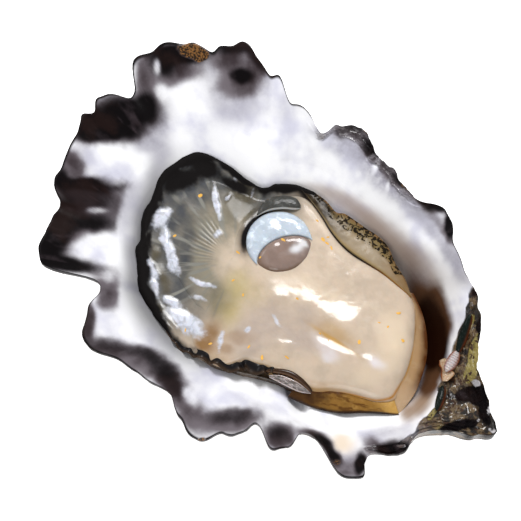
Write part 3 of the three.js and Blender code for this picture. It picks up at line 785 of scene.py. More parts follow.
def inner_height(bearing, reach, lined=True):
    """Height of the shell's inner face: a power-curve bowl up to the mouth, then the lip out to the rim, the
    lower of the two with a rounded corner. The face that the flesh lines is shallower near the mouth than the
    one that the outer face follows, and its pocket ends sooner on the near side."""
    mouth, rim = mouth_reach(bearing), rim_height(bearing)
    mouth_height = rim * MOUTH["share_of_rim"]
    before = POCKET["lined_before"] if lined else POCKET["spread"]
    pocket = bump(turn_from(POCKET["bearing"], bearing), before, POCKET["spread"])
    power = between(LINED_BOWL_POWER if lined else BOWL_POWER, POCKET["bowl_power"], pocket)
    bowl = FLOOR + (mouth_height - FLOOR) * (reach / mouth) ** power
    share = (reach - mouth) / (rim_reach(bearing) - mouth)
    lip = mouth_height + (rim - mouth_height) * np.where(share < 0, MOUTH["slope_inside"] * share, share)
    lip = np.maximum(lip, MOUTH["lowest_lip"]) + flute_sum(bearing, 2) * np.maximum(share, 0) ** 2
    return smooth_min(bowl, lip, MOUTH["fillet"])


def inner_height_at(x, y):
    """Height of the shell's inner face at a place in plan."""
    return inner_height(bearing_of(x, y), np.hypot(x, y))


def add_piece(name, points, faces, finish, node=None):
    """A mesh of points in millimetres, moved to the frame and turned into metres. It rides on the body and
    shows in place of the solid's node, if it has one."""
    mesh = bpy.data.meshes.new(name)
    mesh.from_pydata(((points + HOLLOW) * MM).tolist(), [], faces)
    mesh.materials.append(finish)
    piece = bpy.data.objects.new(name, mesh)
    bpy.context.scene.collection.objects.link(piece)
    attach(piece, "root")
    if node:
        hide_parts(node)
    return piece


def make_skin(name, node, finish, rings, marks=None):
    """Rings of points as one closed skin: quads join each ring to the next, and a fan to its middle closes
    each end. marks are values for every point, kept as attributes for the finish."""
    count, around, _ = rings.shape
    points = np.concatenate([rings.reshape(-1, 3), rings[:1].mean(1), rings[-1:].mean(1)])
    step = np.arange(around)
    following = (step + 1) % around
    start = (np.arange(count - 1) * around)[:, None]
    corners = [start + step, start + following, start + around + following, start + around + step]
    quads = np.stack(np.broadcast_arrays(*corners), -1).reshape(-1, 4)
    last = (count - 1) * around
    first_fan = np.stack([following, step, np.full(around, count * around)], -1)
    last_fan = np.stack([last + step, last + following, np.full(around, count * around + 1)], -1)
    triangles = np.concatenate([quads[:, :3], quads[:, [0, 2, 3]], first_fan, last_fan])
    a, b, c = (points[triangles[:, k]] for k in range(3))
    inside_out = (a * np.cross(b, c)).sum() < 0
    order = slice(None, None, -1 if inside_out else 1)
    faces = quads[:, order].tolist() + first_fan[:, order].tolist() + last_fan[:, order].tolist()

    piece = add_piece(name, points, faces, finish, node)
    for mark, values in (marks or {}).items():
        values = np.broadcast_to(values, (count, around))
        values = np.concatenate([values.ravel(), values[:1].mean(1), values[-1:].mean(1)])
        attribute = piece.data.attributes.new(mark, "FLOAT", "POINT")
        attribute.data.foreach_set("value", values.astype(np.float32))
    piece.data.shade_smooth()
    return piece


class Value:
    """A value or colour inside a material; arithmetic on it adds Math nodes."""

    def __init__(self, finish, socket):
        self.finish = finish
        self.socket = socket

    def math(self, operation, first, second):
        return self.finish.node("ShaderNodeMath", {"operation": operation}, {0: first, 1: second})

    def __add__(self, other):
        return self.math("ADD", self, other)

    def __sub__(self, other):
        return self.math("SUBTRACT", self, other)

    def __rsub__(self, other):
        return self.math("SUBTRACT", other, self)

    def __mul__(self, other):
        return self.math("MULTIPLY", self, other)

    __radd__ = __add__
    __rmul__ = __mul__


class Finish:
    """A material that is built up node by node."""

    def __init__(self, name):
        self.material = bpy.data.materials.new(name)
        self.material.use_nodes = True
        self.tree = self.material.node_tree
        self.tree.nodes.clear()
        self.place = self.node("ShaderNodeTexCoord", output="Object")

    def node(self, kind, settings=None, sockets=None, output=0):
        """Any node: its settings first, then a value or a link for each of its sockets."""
        node = self.tree.nodes.new(kind)
        for key, value in (settings or {}).items():
            setattr(node, key, value)
        for key, value in (sockets or {}).items():
            if isinstance(value, Value):
                self.tree.links.new(value.socket, node.inputs[key])
            else:
                node.inputs[key].default_value = value
        return Value(self, node.outputs[output]) if node.outputs else None

    def mark(self, name):
        """A value that the mesh keeps for every point, 0 where the mesh has none of that name."""
        return self.node("ShaderNodeAttribute", {"attribute_name": name}, output="Fac")

    def noise(self, size, detail=2.0, warp=0.0):
        """Noise about 0.5 with features of the given size in millimetres."""
        sockets = {"Vector": self.place, "Scale": 1 / (size * MM), "Detail": detail, "Distortion": warp}
        return self.node("ShaderNodeTexNoise", None, sockets, output="Fac")

    def ease(self, value, low, high):
        """0 below low, 1 above high and a smooth S between."""
        sockets = {"Value": value, "From Min": low, "From Max": high}
        return self.node("ShaderNodeMapRange", {"interpolation_type": "SMOOTHSTEP"}, sockets)

    def mix(self, first, second, share):
        """From the first colour to the second."""
        first, second = (tone if isinstance(tone, Value) else (*tone, 1.0) for tone in (first, second))
        settings = {"data_type": "RGBA", "clamp_factor": True}
        return self.node("ShaderNodeMix", settings, {0: share, 6: first, 7: second}, output=2)

    def relief(self, height, depth):
        """Bump of a height map whose full range stands the given depth in millimetres."""
        return self.node("ShaderNodeBump", None, {"Height": height, "Distance": depth * MM})

    def shader(self, sockets):
        """The surface's own shader."""
        return self.node("ShaderNodeBsdfPrincipled", None, sockets)

    def cover(self, shader, second, share):
        """The first shader, covered by the second."""
        return self.node("ShaderNodeMixShader", None, {0: share, 1: shader, 2: second})

    def done(self, shader):
        """Ends the material with its shader."""
        self.node("ShaderNodeOutputMaterial", None, {"Surface": shader})
        return self.material


def crust_colour(paint, ragged, middling, lumpy, chalk_and_glints):
    """Broken plates: brown and black by noise, olive where marked, chalk and painted glints where marked, and
    ash grey on the far edge.
    """
    plates = paint.mix((0.15, 0.10, 0.05), (0.010, 0.007, 0.005), paint.ease(middling, 0.44, 0.54))
    olive = paint.ease(paint.mark("olive") + ragged * 1.5, 0.3, 0.6)
    plates = paint.mix(plates, (0.30, 0.24, 0.07), olive)
    plates = paint.mix(plates, (0.05, 0.02, 0.008), paint.ease(lumpy, 0.55, 0.63))
    plates = paint.mix(plates, (0.62, 0.60, 0.62), chalk_and_glints)
    ash = paint.mix((0.28, 0.26, 0.27), (0.05, 0.04, 0.04), paint.ease(paint.noise(0.9, 4), 0.46, 0.62))
    ash = paint.mix(ash, (0.75, 0.74, 0.76), paint.ease(lumpy, 0.58, 0.66))
    return paint.mix(plates, ash, paint.mark("ash"))


def pearl_colour(paint, ragged, broad):
    """White pearl with lilac clouds; painted shade going grey, brown and near black down the pocket's wall,
    painted warm light from the belly in tan on it, and painted shade where the flesh meets it."""
    colour = paint.mix((0.94, 0.94, 0.96), (0.66, 0.66, 0.77), paint.ease(broad + ragged * 0.3, 0.44, 0.7))
    # Painted shade down the far wall into the pocket, and painted warm light from the belly
    colour = paint.mix(colour, (0.34, 0.26, 0.215), paint.mark("painted_wall_shade"))
    colour = paint.mix(colour, (0.27, 0.175, 0.11), paint.mark("painted_warm_light"))
    brown = paint.ease(paint.mark("painted_brown_shade") + ragged * 0.4, 0.05, 0.8)
    colour = paint.mix(colour, (0.085, 0.038, 0.018), brown)
    pocket = paint.ease(paint.mark("pocket") + ragged * 0.4, 0.1, 0.8)
    colour = paint.mix(colour, (0.012, 0.003, 0.001), pocket)
    return paint.mix(colour, (0.06, 0.058, 0.06), paint.mark("shade"))


def stained_colour(paint, colour, ragged, broad, streak, rust):
    """A colour under the lip's patches: grey that is partly stain and partly painted shade, tan, mauve, deep
    mauve and speckled rust.
    """
    # Grey: partly mauve-grey stain, partly painted shade on the lip
    grey = paint.mark("grey") * (ragged * (paint.mark("ash") * 4 + 1.4) + 0.95)
    colour = paint.mix(colour, (0.36, 0.35, 0.41), grey)
    colour = paint.mix(colour, (0.72, 0.58, 0.42), paint.mark("lip_tan"))
    dark = paint.mark("dark") + ragged * 0.7 + streak * 0.09
    colour = paint.mix(colour, (0.14, 0.12, 0.135), paint.ease(dark, 0.05, 0.75))
    colour = paint.mix(colour, (0.028, 0.018, 0.021), paint.ease(dark + (broad - 0.5) * 1.2, 0.55, 1.05))
    speckle = paint.ease(paint.noise(0.4, 3), 0.42, 0.56)
    return paint.mix(colour, paint.mix((0.20, 0.09, 0.025), (0.015, 0.008, 0.004), speckle), rust)


def outer_colour(paint, ragged, broad, streak, lumpy):
    """The outer face: grey-brown growth layers with pale clouds, purple ribs, olive patches and dark pits."""
    layers = paint.ease(paint.mark("layer") + ragged * 2, 0.35, 1.05)
    scales = paint.mix((0.15, 0.125, 0.11), (0.34, 0.31, 0.28), layers)
    scales = paint.mix(scales, (0.45, 0.42, 0.39), paint.ease(broad + ragged * 0.5, 0.52, 0.68) * 0.7)
    scales = paint.mix(scales, (0.085, 0.055, 0.08), paint.ease(streak + ragged * 2, 0.0, 0.55) * 0.8)
    scales = paint.mix(scales, (0.12, 0.105, 0.05), paint.ease(paint.noise(4, 4), 0.58, 0.72) * 0.8)
    return paint.mix(scales, (0.04, 0.032, 0.03), paint.ease(lumpy, 0.57, 0.64) * 0.7)


def shell_finish():
    """Pearly white inside, stained mauve and blue-black at the lip, rust and crust at the edge with chalk and
    painted glints on it, and painted shade going brown to black in the pocket; layered grey-brown and purple
    outside. The black stains are a dull tar over the pearl."""
    paint = Finish("shell_pearl_and_crust")
    fine, middling, broad = paint.noise(0.5, 4), paint.noise(2.2, 4), paint.noise(9, 3)
    lumpy = paint.noise(1.3, 4, warp=1.5)
    ragged = (middling - 0.5) * 0.3 + (fine - 0.5) * 0.1
    streak, outside = paint.mark("streak"), paint.mark("outside")
    crust = paint.ease(paint.mark("crust") + ragged * 0.6, 0.3, 0.6)
    soot = paint.ease(paint.mark("soot") + ragged * 3.2, 0.35, 0.7)
    # Chalk on the crust, partly painted glints
    chalk_and_glints = paint.ease(paint.mark("chalk_and_glints") + ragged * 4.0, 0.5, 0.75)
    rust = paint.ease(paint.mark("rust") + ragged, 0.25, 0.6)

    plates = crust_colour(paint, ragged, middling, lumpy, chalk_and_glints)
    colour = paint.mix(pearl_colour(paint, ragged, broad), plates, crust)
    colour = stained_colour(paint, colour, ragged, broad, streak, rust)
    scales = paint.mix(outer_colour(paint, ragged, broad, streak, lumpy), plates, crust)
    normal = paint.relief(fine * (crust * 1.1 + outside * 0.8 + 0.04), 0.5)
    pearl = paint.shader({
        "Base Color": paint.mix(colour, scales, outside),
        "Roughness": crust * 0.15 + outside * 0.35 + 0.32,
        "Normal": normal,
        "Specular IOR Level": 0.2,
        "Coat Weight": crust * 0.7 * (1 - outside) + 0.05,
        "Coat Roughness": 0.08,
    })
    sheen = paint.ease(streak + ragged * 2, 0.25, 0.9)
    black = paint.mix((0.004, 0.003, 0.0035), (0.035, 0.026, 0.03), sheen)
    black = paint.mix(black, (0.016, 0.008, 0.007), paint.ease(broad + ragged, 0.5, 0.68) * 0.7)
    tar = paint.shader({"Base Color": black, "Roughness": 0.4, "Normal": normal, "Specular IOR Level": 0.04})
    stain = paint.ease(paint.mark("black") + ragged * 0.6 + streak * 0.05, 0.0, 0.85)
    covered = (1 - (1 - stain) * (1 - soot * crust)) * (1 - rust) * (1 - outside) * (1 - chalk_and_glints * crust)
    return paint.done(paint.cover(pearl, tar, covered))


def darker(tone, share):
    """A colour at a share of its brightness."""
    return [part * share for part in tone]


def wet_flesh(
    name, ground, tints=(), *, mottle=None, crisp=None, specks=None, matte=None, calm=None,
    relief=(1.2, 0.12), gloss=0.28, depth=0.25, coat=0.7, film=0.08,
):
    """Soft wet tissue: a cloudy ground colour, mottling of a size, tone and amount, a tint for each mark, a
    crisp-edged tint for one more, light that soaks in and a clear wet coat, which the calm mark takes away.
    Dark specks inside a mark and a dull black where the matte mark is lie over it without a coat. relief is
    the size and depth of its fine bumps."""
    paint = Finish(name)
    cloud = paint.noise(3.0, 3)
    colour = paint.mix(ground, darker(ground, 0.86), paint.ease(cloud, 0.35, 0.7))
    if mottle:
        size, tone, amount = mottle
        colour = paint.mix(colour, tone, paint.ease(paint.noise(size, 3, 0.6), 0.5, 0.75) * amount)
    for mark, tone in tints:
        colour = paint.mix(colour, tone, paint.mark(mark) * (cloud + 0.5))
    if crisp:
        mark, tone = crisp
        tone = paint.mix(tone, darker(tone, 0.68), paint.ease(paint.noise(1.4, 3, 0.8), 0.4, 0.68))
        edge = paint.mark(mark) + (paint.noise(1.1, 4) - 0.5) * 0.9
        colour = paint.mix(colour, tone, paint.ease(edge, 0.2, 0.8))
    if calm:
        coat = (1 - paint.mark(calm)) * coat
    size, height = relief
    shader = paint.shader({
        "Base Color": colour,
        "Roughness": gloss,
        "Normal": paint.relief(paint.noise(size, 3), height),
        "Subsurface Weight": depth,
        "Subsurface Radius": (1.0, 0.62, 0.38),
        "Subsurface Scale": 1.6 * MM,
        "Specular IOR Level": 0.08,
        "Coat Weight": coat,
        "Coat Roughness": film,
    })
    covers = []
    if specks:
        size, tone, mark = specks
        spots = paint.ease(paint.noise(size, 4, 0.8), 0.47, 0.55)
        covers.append((tone, spots * paint.ease(paint.mark(mark), 0.15, 0.6)))
    if matte:
        edge = paint.mark(matte) + (paint.noise(1.0, 3) - 0.5) * 0.4
        covers.append((MATTE_BLACK, paint.ease(edge, 0.1, 0.85)))
    for tone, share in covers:
        dull = paint.shader({"Base Color": (*tone, 1), "Roughness": 0.7, "Specular IOR Level": 0.05})
        shader = paint.cover(shader, dull, share)
    return paint.done(shader)


def crust_share(bearing, reach, share):
    """How rough the lip is: all beyond the hinge line, the broken far edge and the near patch."""
    from_hinge = turn_from(HINGE_CRUST["side"][0], bearing)
    line = HINGE_CRUST["reach"] + HINGE_CRUST["step"] * ease(-4, -11, from_hinge)
    rough = within(HINGE_CRUST["side"], bearing) * ease(line - 0.4, line + 0.6, reach)
    for edge in (BROKEN_EDGE, NEAR_CRUST):
        start, fade = edge["start"], edge["fade"]
        rough = np.maximum(rough, within(edge["side"], bearing) * ease(start - fade, start + fade, share))
    return rough


def nibbled_rim(bearing):
    """Reach of the rim as it broke: nibbled inwards by noise, most where the edge is rough."""
    rim = rim_reach(bearing)
    roughness = between(0.3, 1.0, crust_share(bearing, rim, 1.0))
    return rim - roughness * (0.5 + 0.5 * crags(in_plan(bearing, rim), 2.4, 3)) * NIBBLE


def inner_face(bearing, reach, share):
    """Height of the inner face and how rough it is: the plain face with ridges that run out along the lip, a
    soft wobble, an edge that rolls down, and crust of noise, saw-tooth steps and a pit in the beak."""
    flat = in_plan(bearing, reach)
    on_lip = np.clip(share, 0, 1)
    ridges = sum(
        rise * bump(turn_from(between(at_mouth, at_rim, share), bearing), width)
        for at_mouth, at_rim, rise, width in LIP_RIDGES
    )
    ridges = ridges * on_lip ** 0.7 * (1.15 - on_lip)
    wobble = 0.12 * crags(flat, 4, 11) * ease(-0.1, 0.3, share)
    crust = crust_share(bearing, reach + 0.8 * crags(flat, 3, 5), share + 0.1 * crags(flat, 3, 8, 2))
    steps = ((rim_reach(bearing) - reach) / CRUST_STEP["length"] + 0.5 * crags(flat, 5, 21, 2)) % 1
    pit = patches(flat[..., 0], flat[..., 1], [BEAK_PIT])
    broken = crust * (crags(flat, 2.0, 14, 4) - CRUST_STEP["depth"] * steps - BEAK_PIT_DEPTH * pit)
    rolled = 0.35 * ease(0.97, 1.0, share)
    return inner_height(bearing, reach) + ridges + wobble + broken - rolled, crust


def outer_face(bearing, reach, share):
    """Height of the outer face, its growth layers and its ribs: the bowl less the wall, which thins to the
    edge and swells at the umbo, cut by saw-tooth layers, ribs and noise, and rounded off flat at the seat."""
    flat = in_plan(bearing, reach)
    oval_share = np.minimum(reach / oval_reach(bearing, HALF_LENGTH, HALF_WIDTH), 1)
    wall = between(WALL["floor"], WALL["edge"], oval_share ** WALL["power"])
    hinge = bump(turn_from(UMBO["bearing"], bearing), UMBO["spread"])
    wall = wall + UMBO["wall"] * hinge * ease(UMBO["start"], UMBO["stop"], oval_share)
    drift = 0.8 * crags(flat, 14, 31) + 0.3 * crags(flat, 5, 33, 2)
    layer = (oval_share * LAYERS["count"] + drift) % 1
    ribs = crags(level_points(bearing * 0.1, share * 0.8), 1.0, 35)
    relief = LAYERS["depth"] * layer + 0.35 * crags(flat, 2.5, 37, 4) + LAYERS["ribs"] * ribs
    cut = relief * ease(LAYERS["start"], LAYERS["stop"], oval_share)
    bowl = inner_height(bearing, reach, lined=False)
    height = -smooth_min(wall + cut - bowl, 0, WALL["seat_fillet"])
    return np.minimum(height, bowl - WALL["thinnest"]), layer, ribs


def inner_stains_and_painted_light(bearing, reach, share, crust):
    """How strongly each stain, painted shade and painted highlight marks the inner face: patches, kept to the
    lip where they belong to it, with a dark line along the very edge and painted shade on the wall beside the
    mantle."""
    flat = in_plan(bearing, reach)
    x, y = flat[..., 0], flat[..., 1]
    past_mouth = ease(-0.15, 0.02, share)
    # Kept clean of stains: partly clean pearl, partly painted highlights
    stained = 1 - patches(x, y, LIP_CLEAN_AND_GLINTS, 0.3)
    # The grey marks: partly mauve-grey stain, partly painted shade
    greys = LIP_GREY_AND_SHADE + grown(LIP_BLACK, 1.5, 0.5) + grown(LIP_DARK, 1.35, 0.5)
    darks = LIP_DARK + grown(LIP_BLACK, 1.35, 0.85)
    black = patches(x, y, grown(LIP_BLACK, 1.12, 1.0), 0.6) * past_mouth * stained
    edge_line = EDGE_LINE["strength"] * ease(EDGE_LINE["start"] - 0.04, EDGE_LINE["start"] + 0.02, share)
    # Painted shade on the lip just outside the mantle's edge
    shade_width = between(SHADE["width_at_bill"], SHADE["width_near"], ease(208, 238, bearing))
    past_flesh = reach / hollow_reach(bearing) - mantle_edge(bearing)
    shade = SHADE["strength"] * ease(shade_width, 0.0, past_flesh) * within(SHADE["side"], bearing)
    stains = {
        "grey": patches(x, y, greys) * ease(-0.45, -0.05, share) * stained,
        "dark": patches(x, y, darks, 0.6) * past_mouth * stained,
        "black": np.maximum(black, edge_line),
        "lip_tan": patches(x, y, LIP_TAN) * past_mouth,
        "rust": patches(x, y, LIP_RUST),
        "olive": patches(x, y, HINGE_OLIVE),
        # Chalk on the crust, partly painted glints
        "chalk_and_glints": patches(x, y, HINGE_PALE_AND_GLINTS),
        "soot": patches(x, y, HINGE_BLACK),
        # Painted shade and painted warm light on the far wall and in the pocket
        "painted_wall_shade": patches(x, y, WALL_SHADE, 0.4),
        "painted_warm_light": patches(x, y, WALL_WARM_LIGHT, 0.3),
        "painted_brown_shade": patches(x, y, WALL_BROWN_SHADE, 0.4),
        "pocket": patches(x, y, POCKET_SHADOW, 0.4),
        "shade": shade,
        "crust": crust,
        "ash": within(BROKEN_EDGE["side"], bearing),
        "streak": crags(level_points(bearing * 0.5, share * 2.5), 1.0, 141),
    }
    return {name: np.broadcast_to(values, share.shape) for name, values in stains.items()}


def make_shell(finish):
    """The valve as one skin: rings from the middle of the floor up the bowl and the lip to the rim, over the
    edge and back down the layered outer face to the seat. Most stains and painted shade fade below the rim
    outside; those of the crust's top, painted glints among them, end on the edge."""
    bearing = np.linspace(0, 360, SHELL_BEARINGS, endpoint=False)[None, :]
    mouth, rim = mouth_reach(bearing), nibbled_rim(bearing)
    bowl = mouth * np.linspace(0.04, 1, BOWL_RINGS, endpoint=False)[:, None] ** 0.7
    lip = between(mouth, rim, np.linspace(0, 1, LIP_RINGS)[:, None])
    inner_reach = np.concatenate([bowl, lip])
    share = (inner_reach - mouth) / (rim_reach(bearing) - mouth)
    inner, crust = inner_face(bearing, inner_reach, share)

    outer_share = np.linspace(1, 0.03, OUTER_RINGS)[:, None]
    outer_reach = rim * outer_share
    outer, layer, ribs = outer_face(bearing, outer_reach, outer_share)

    over = np.linspace(0, 1, EDGE_RINGS + 2)[1:-1, None]
    edge = between(inner[-1:], outer[:1], over)
    edge_reach = rim - EDGE_ROUND * (1 - np.sin(np.pi * over))
    reach = np.concatenate([inner_reach, edge_reach, outer_reach])
    rings = in_plan(bearing, reach, np.concatenate([inner, edge, outer]))

    flat = in_plan(bearing, outer_reach)
    below_rim = ease(0.84, 1.0, outer_share + 0.06 * crags(flat, 3, 45))
    below_crust = ease(0.66, 1.0, outer_share + 0.16 * crags(flat, 6, 47))
    fades = dict.fromkeys(EDGE_STAINS_AND_GLINTS, 0 * outer) | {"ash": 1 + 0 * outer, "crust": below_crust}
    marks = {}
    for name, values in inner_stains_and_painted_light(bearing, inner_reach, share, crust).items():
        on_edge = 1 - over if name in EDGE_STAINS_AND_GLINTS else np.ones_like(over)
        fade = fades.get(name, below_rim)
        marks[name] = np.concatenate([values, values[-1:] * on_edge, values[-1:] * fade])
    marks["streak"][-OUTER_RINGS:] = ribs
    none = np.zeros_like(inner)
    outside = np.maximum(ease(1.0, OUTSIDE["starts"], outer_share), OUTSIDE["on_edge"])
    edge_outside = OUTSIDE["on_edge"] * over ** 2
    marks["outside"] = np.concatenate([none, edge_outside + 0 * edge, outside + 0 * outer])
    marks["layer"] = np.concatenate([none, 0 * edge, layer])
    return make_skin("shell_valve", "shell", finish, rings, marks)


def sheet_top(x, y):
    """Height of the soft sheet round the muscle: level, with a dip at a share of the hollow, soft lumps, a
    lift under each pale patch, and a drop on the hinge half, where the belly overhangs it."""
    bearing = bearing_of(x, y)
    share = np.hypot(x, y) / hollow_reach(bearing)
    dip = SHEET["dip"] * bump(share - SHEET["dip_at"], SHEET["dip_spread"])
    drop = SHEET["near_drop"] * ease(250, 290, bearing) + SHEET["far_drop"] * ease(108, 80, bearing)
    lumps = 0.14 * crags(level_points(x, y), 4.5, 75, 2) + 0.2 * patches(x, y, FLESH_PALE_AND_GLINTS)
    return SHEET["level"] - dip - drop + lumps


def flesh_marks(x, y):
    """Where the soft body is stained and where highlights are painted on it: from the cream middle to a grey
    veil, slate and a black margin by the share of the hollow at the bill end, with fibres that run out from
    the gills' root, and patches over that, of which the sheen patches are painted highlights and the pale
    ones partly so."""
    bearing = bearing_of(x, y)
    share = np.hypot(x, y) / hollow_reach(bearing) + 0.05 * crags(level_points(x, y), 3.0, 131)
    bill_side = within(BILL_SIDE, bearing)
    slate = np.maximum(patches(x, y, FLESH_SLATE), 0.9 * ease(*SLATE_SHARES, share)) * bill_side
    margin = mantle_edge(bearing) - between(MARGIN["far"], MARGIN["near"], ease(170, 205, bearing))
    margin = ease(margin - MARGIN["fade"], margin + MARGIN["fade"], share) * within(MARGIN["side"], bearing)
    root_x, root_y = x - GILLS["root_x"], y - GILLS["root_y"]
    threads = level_points(0.22 * bearing_of(root_x, root_y), 0.14 * np.hypot(root_x, root_y))
    fibres = ease(0.1, 0.6, crags(threads, 1.0, 151)) * ease(0.3, 0.45, share) * ease(0.8, 0.7, share)
    fibres = fibres * bill_side
    return {
        "grey": patches(x, y, FLESH_GREY),
        "golden": patches(x, y, FLESH_GOLDEN),
        "veil": ease(*VEIL_SHARES, share) * bill_side,
        "slate": slate,
        "olive": patches(x, y, FLESH_OLIVE),
        "brown": patches(x, y, FLESH_BROWN),
        "pale": patches(x, y, grown(FLESH_PALE_AND_GLINTS, 1.25, 1.0), 1.0),
        "black": np.maximum(patches(x, y, FLESH_BLACK), margin),
        "light": patches(x, y, FLESH_LIGHT),
        "sheen": patches(x, y, FLESH_SHEEN),
        "fibres": fibres,
    }


def from_muscle(x, y):
    """Distance outside the muscle's round outline."""
    return np.maximum(np.hypot(x - MUSCLE["x"], y - MUSCLE["y"]) - MUSCLE["radius"], 0)


def belly_reach(angle):
    """Reach of the belly's edge from its middle: a smooth closed curve through the places of BELLY_EDGE, read
    off by angle."""
    curve = smooth_path(BELLY_EDGE[-2:] + BELLY_EDGE + BELLY_EDGE[:3], 900) - np.array(BELLY_MIDDLE)
    around = np.degrees(np.arctan2(curve[:, 1], curve[:, 0]))
    return np.interp(angle, around, np.hypot(curve[:, 0], curve[:, 1]), period=360)


def belly_plan(angle, share):
    """Plan of the belly: a share of its reach at each angle about its middle."""
    plan = in_plan(angle, share * belly_reach(angle))
    return BELLY_MIDDLE[0] + plan[..., 0], BELLY_MIDDLE[1] + plan[..., 1]


def belly_share(x, y):
    """The share of the way from the belly's middle to its edge, and the angle, at a place in plan."""
    along, across = x - BELLY_MIDDLE[0], y - BELLY_MIDDLE[1]
    angle = np.degrees(np.arctan2(across, along))
    return np.hypot(along, across) / belly_reach(angle), angle


def belly_top(x, y):
    """Height of the belly: a flat dome that tips to the near side, with folds as turned humps and a little
    lumpiness, a well for the muscle, the sheet's own height at the bill end and a round steep edge
    elsewhere."""
    share, angle = belly_share(x, y)
    share = np.minimum(share, 1)
    folds = sum(rise * bump(oval_distance(x, y, *oval), 1.0) for *oval, rise in BELLY_FOLDS)
    flat = level_points(x, y)
    lumps = 0.18 * crags(flat, 6, 51, 2) + 0.05 * crags(flat, 1.5, 53, 2)
    low, high = BELLY_CROWN["shoulder"], BELLY_CROWN["top"]
    tip = BELLY_CROWN["fall"] * (0.75 * (y - BELLY_MIDDLE[1]) - 0.66 * (x - BELLY_MIDDLE[0]))
    dome = low + tip + (high - low + folds + lumps) * (1 - share ** 4)
    sheet = sheet_top(x, y)
    bill_end = within(BELLY_BILL_END, angle)
    dome = between(dome, sheet + 0.05, bill_end * ease(0.45, 0.92, share))
    well = bump(from_muscle(x, y), MUSCLE_WELL["spread"])
    dome = between(dome, np.minimum(dome, MUSCLE_WELL["height"]), well)
    edge = np.maximum(BELLY_CROWN["edge"], inner_height_at(*belly_plan(angle, 1.0)) + BELLY_CROWN["lip"])
    edge = between(edge, sheet - 0.5, bill_end)
    return edge + (dome - edge) * (1 - share ** BELLY_CROWN["bluntness"]) ** 0.5


def make_belly(finish):
    """The body mass: rings from its crown over the round edge and back along the floor of the hollow. Its low
    edge is tan with an amber line. Painted shade darkens it in the crease between its folds, and brown to
    black in the gap on the bill side of the muscle."""
    angle = np.linspace(0, 360, BELLY_ANGLES, endpoint=False)[None, :]
    top_share = np.sin(np.linspace(0.01, 0.5, BELLY_TOP_RINGS) * np.pi)[:, None]
    under_share = np.linspace(1, 0.05, BELLY_UNDER_RINGS + 1)[1:, None]
    x, y = belly_plan(angle, top_share)
    under_x, under_y = belly_plan(angle, under_share)
    top = belly_top(x, y)
    under = np.minimum(inner_height_at(under_x, under_y) + 0.5, top[-1:])
    rings = np.concatenate([np.stack([x, y, top], -1), np.stack([under_x, under_y, under], -1)])

    x, y = rings[..., 0], rings[..., 1]
    share, angle = belly_share(x, y)
    hinge_end = within(BELLY_HINGE_END, angle)
    low_side = within(BELLY_LOW_SIDE, angle)
    outside = from_muscle(x, y)
    about_muscle = bearing_of(x - MUSCLE["x"], y - MUSCLE["y"])
    # Painted shade: black in the gap on the muscle's bill side
    crescent = bump(outside - 0.3, 0.75, blunt=4) * within(GAP_SHADE_SIDE, about_muscle)
    marks = flesh_marks(x, y)
    # Painted shade in the crease between the folds
    marks["crease_shade"] = patches(x, y, FLESH_CREASE_SHADE, 0.3)
    marks["tan"] = 0.85 * ease(0.82, 1.0, share) * low_side + ease(0.97, 1.0, share) * hinge_end
    marks["amber"] = bump(share - BELLY_AMBER, 0.012) * hinge_end
    # Painted shade: brown round the muscle's bill side
    marks["umber"] = bump(outside - 0.5, 1.1) * within(WELL_SHADE_SIDE, about_muscle)
    marks["black"] = np.maximum(marks["black"], crescent)
    marks["calm"] = ease(0.62, 0.78, share) * within(BELLY_CALM_SIDE, angle)
    return make_skin("belly_flesh", "belly", finish, rings, marks)


def gill_spread(bearing, shares):
    """Plan of the gill fan: shares of the way from its root to its edge, which is a share of the hollow that
    falls from the far side to the near side."""
    edge_share = between(GILL_REACH["far"], GILL_REACH["near"], ease(165, 265, bearing))
    edge = in_plan(bearing, edge_share * hollow_reach(bearing))[..., :2]
    root = np.array([GILLS["root_x"], GILLS["root_y"]])
    return root + (edge - root) * shares[..., None]


def make_gills(finish):
    """The gill fan: a sheet from the root out to the edge, level and then drooping, pleated into plates whose
    grooves start at the root and bend as they run out. It dips round the muscle and into the belly."""
    bearing = np.linspace(GILLS["start"], GILLS["stop"], GILL_ROWS)[:, None]
    run = (bearing - GILLS["start"]) / (GILLS["stop"] - GILLS["start"])
    out = np.linspace(0.04, 1, GILL_TOP_COLUMNS)[None, :]
    under = np.linspace(1, 0.04, GILL_UNDER_COLUMNS + 2)[None, 1:-1]
    plan, under_plan = gill_spread(bearing, out), gill_spread(bearing, under)
    x, y = plan[..., 0], plan[..., 1]
    flat = level_points(x, y)
    wave = run * GILLS["plates"] + 1.2 * (1 - out) ** 2 + 0.8 * crags(flat, 7, 61, 2)
    pleat = 0.5 - 0.5 * np.cos(2 * np.pi * wave)
    showing = within(GILLS_SHOW, bearing) * ease(0.24, 0.42, out) * ease(0.74, 0.48, out)
    strength = showing * ease(-0.6, 0.3, crags(flat, 5, 63, 2)) * ease(0.96, 1.1, belly_share(x, y)[0])
    top = sheet_top(x, y) + 0.04 - 0.6 * ease(0.9, 1.0, out) - 1.6 * bump(from_muscle(x, y), 1.2)
    top = top + GILLS["plate_height"] * (pleat - 0.5) * strength
    low = sheet_top(x[:, -1:], y[:, -1:]) - 1.6 + 0 * under_plan[..., 0]
    upper = np.concatenate([plan, top[..., None]], -1)
    lower = np.concatenate([under_plan, low[..., None]], -1)
    rings = np.concatenate([upper, lower], 1)
    middle = rings.mean(1, keepdims=True)
    ends = ease(0, 0.06, run) * ease(1, 0.94, run)
    rings = middle + (rings - middle) * ends[..., None]

    x, y = rings[..., 0], rings[..., 1]
    # Painted shade: black in the gap between the gills and the muscle
    gap = bump(from_muscle(x, y), 1.0) * ease(215, 190, bearing)
    marks = flesh_marks(x, y)
    # Painted shade in the grooves between the plates
    marks["groove_shade"] = np.concatenate([(1 - pleat) * strength * 0.5, 0 * low], 1)
    marks["calm"] = 0.6
    marks["black"] = np.maximum(marks["black"], 0.9 * gap)
    return make_skin("gill_fan", "gills", finish, rings, marks)


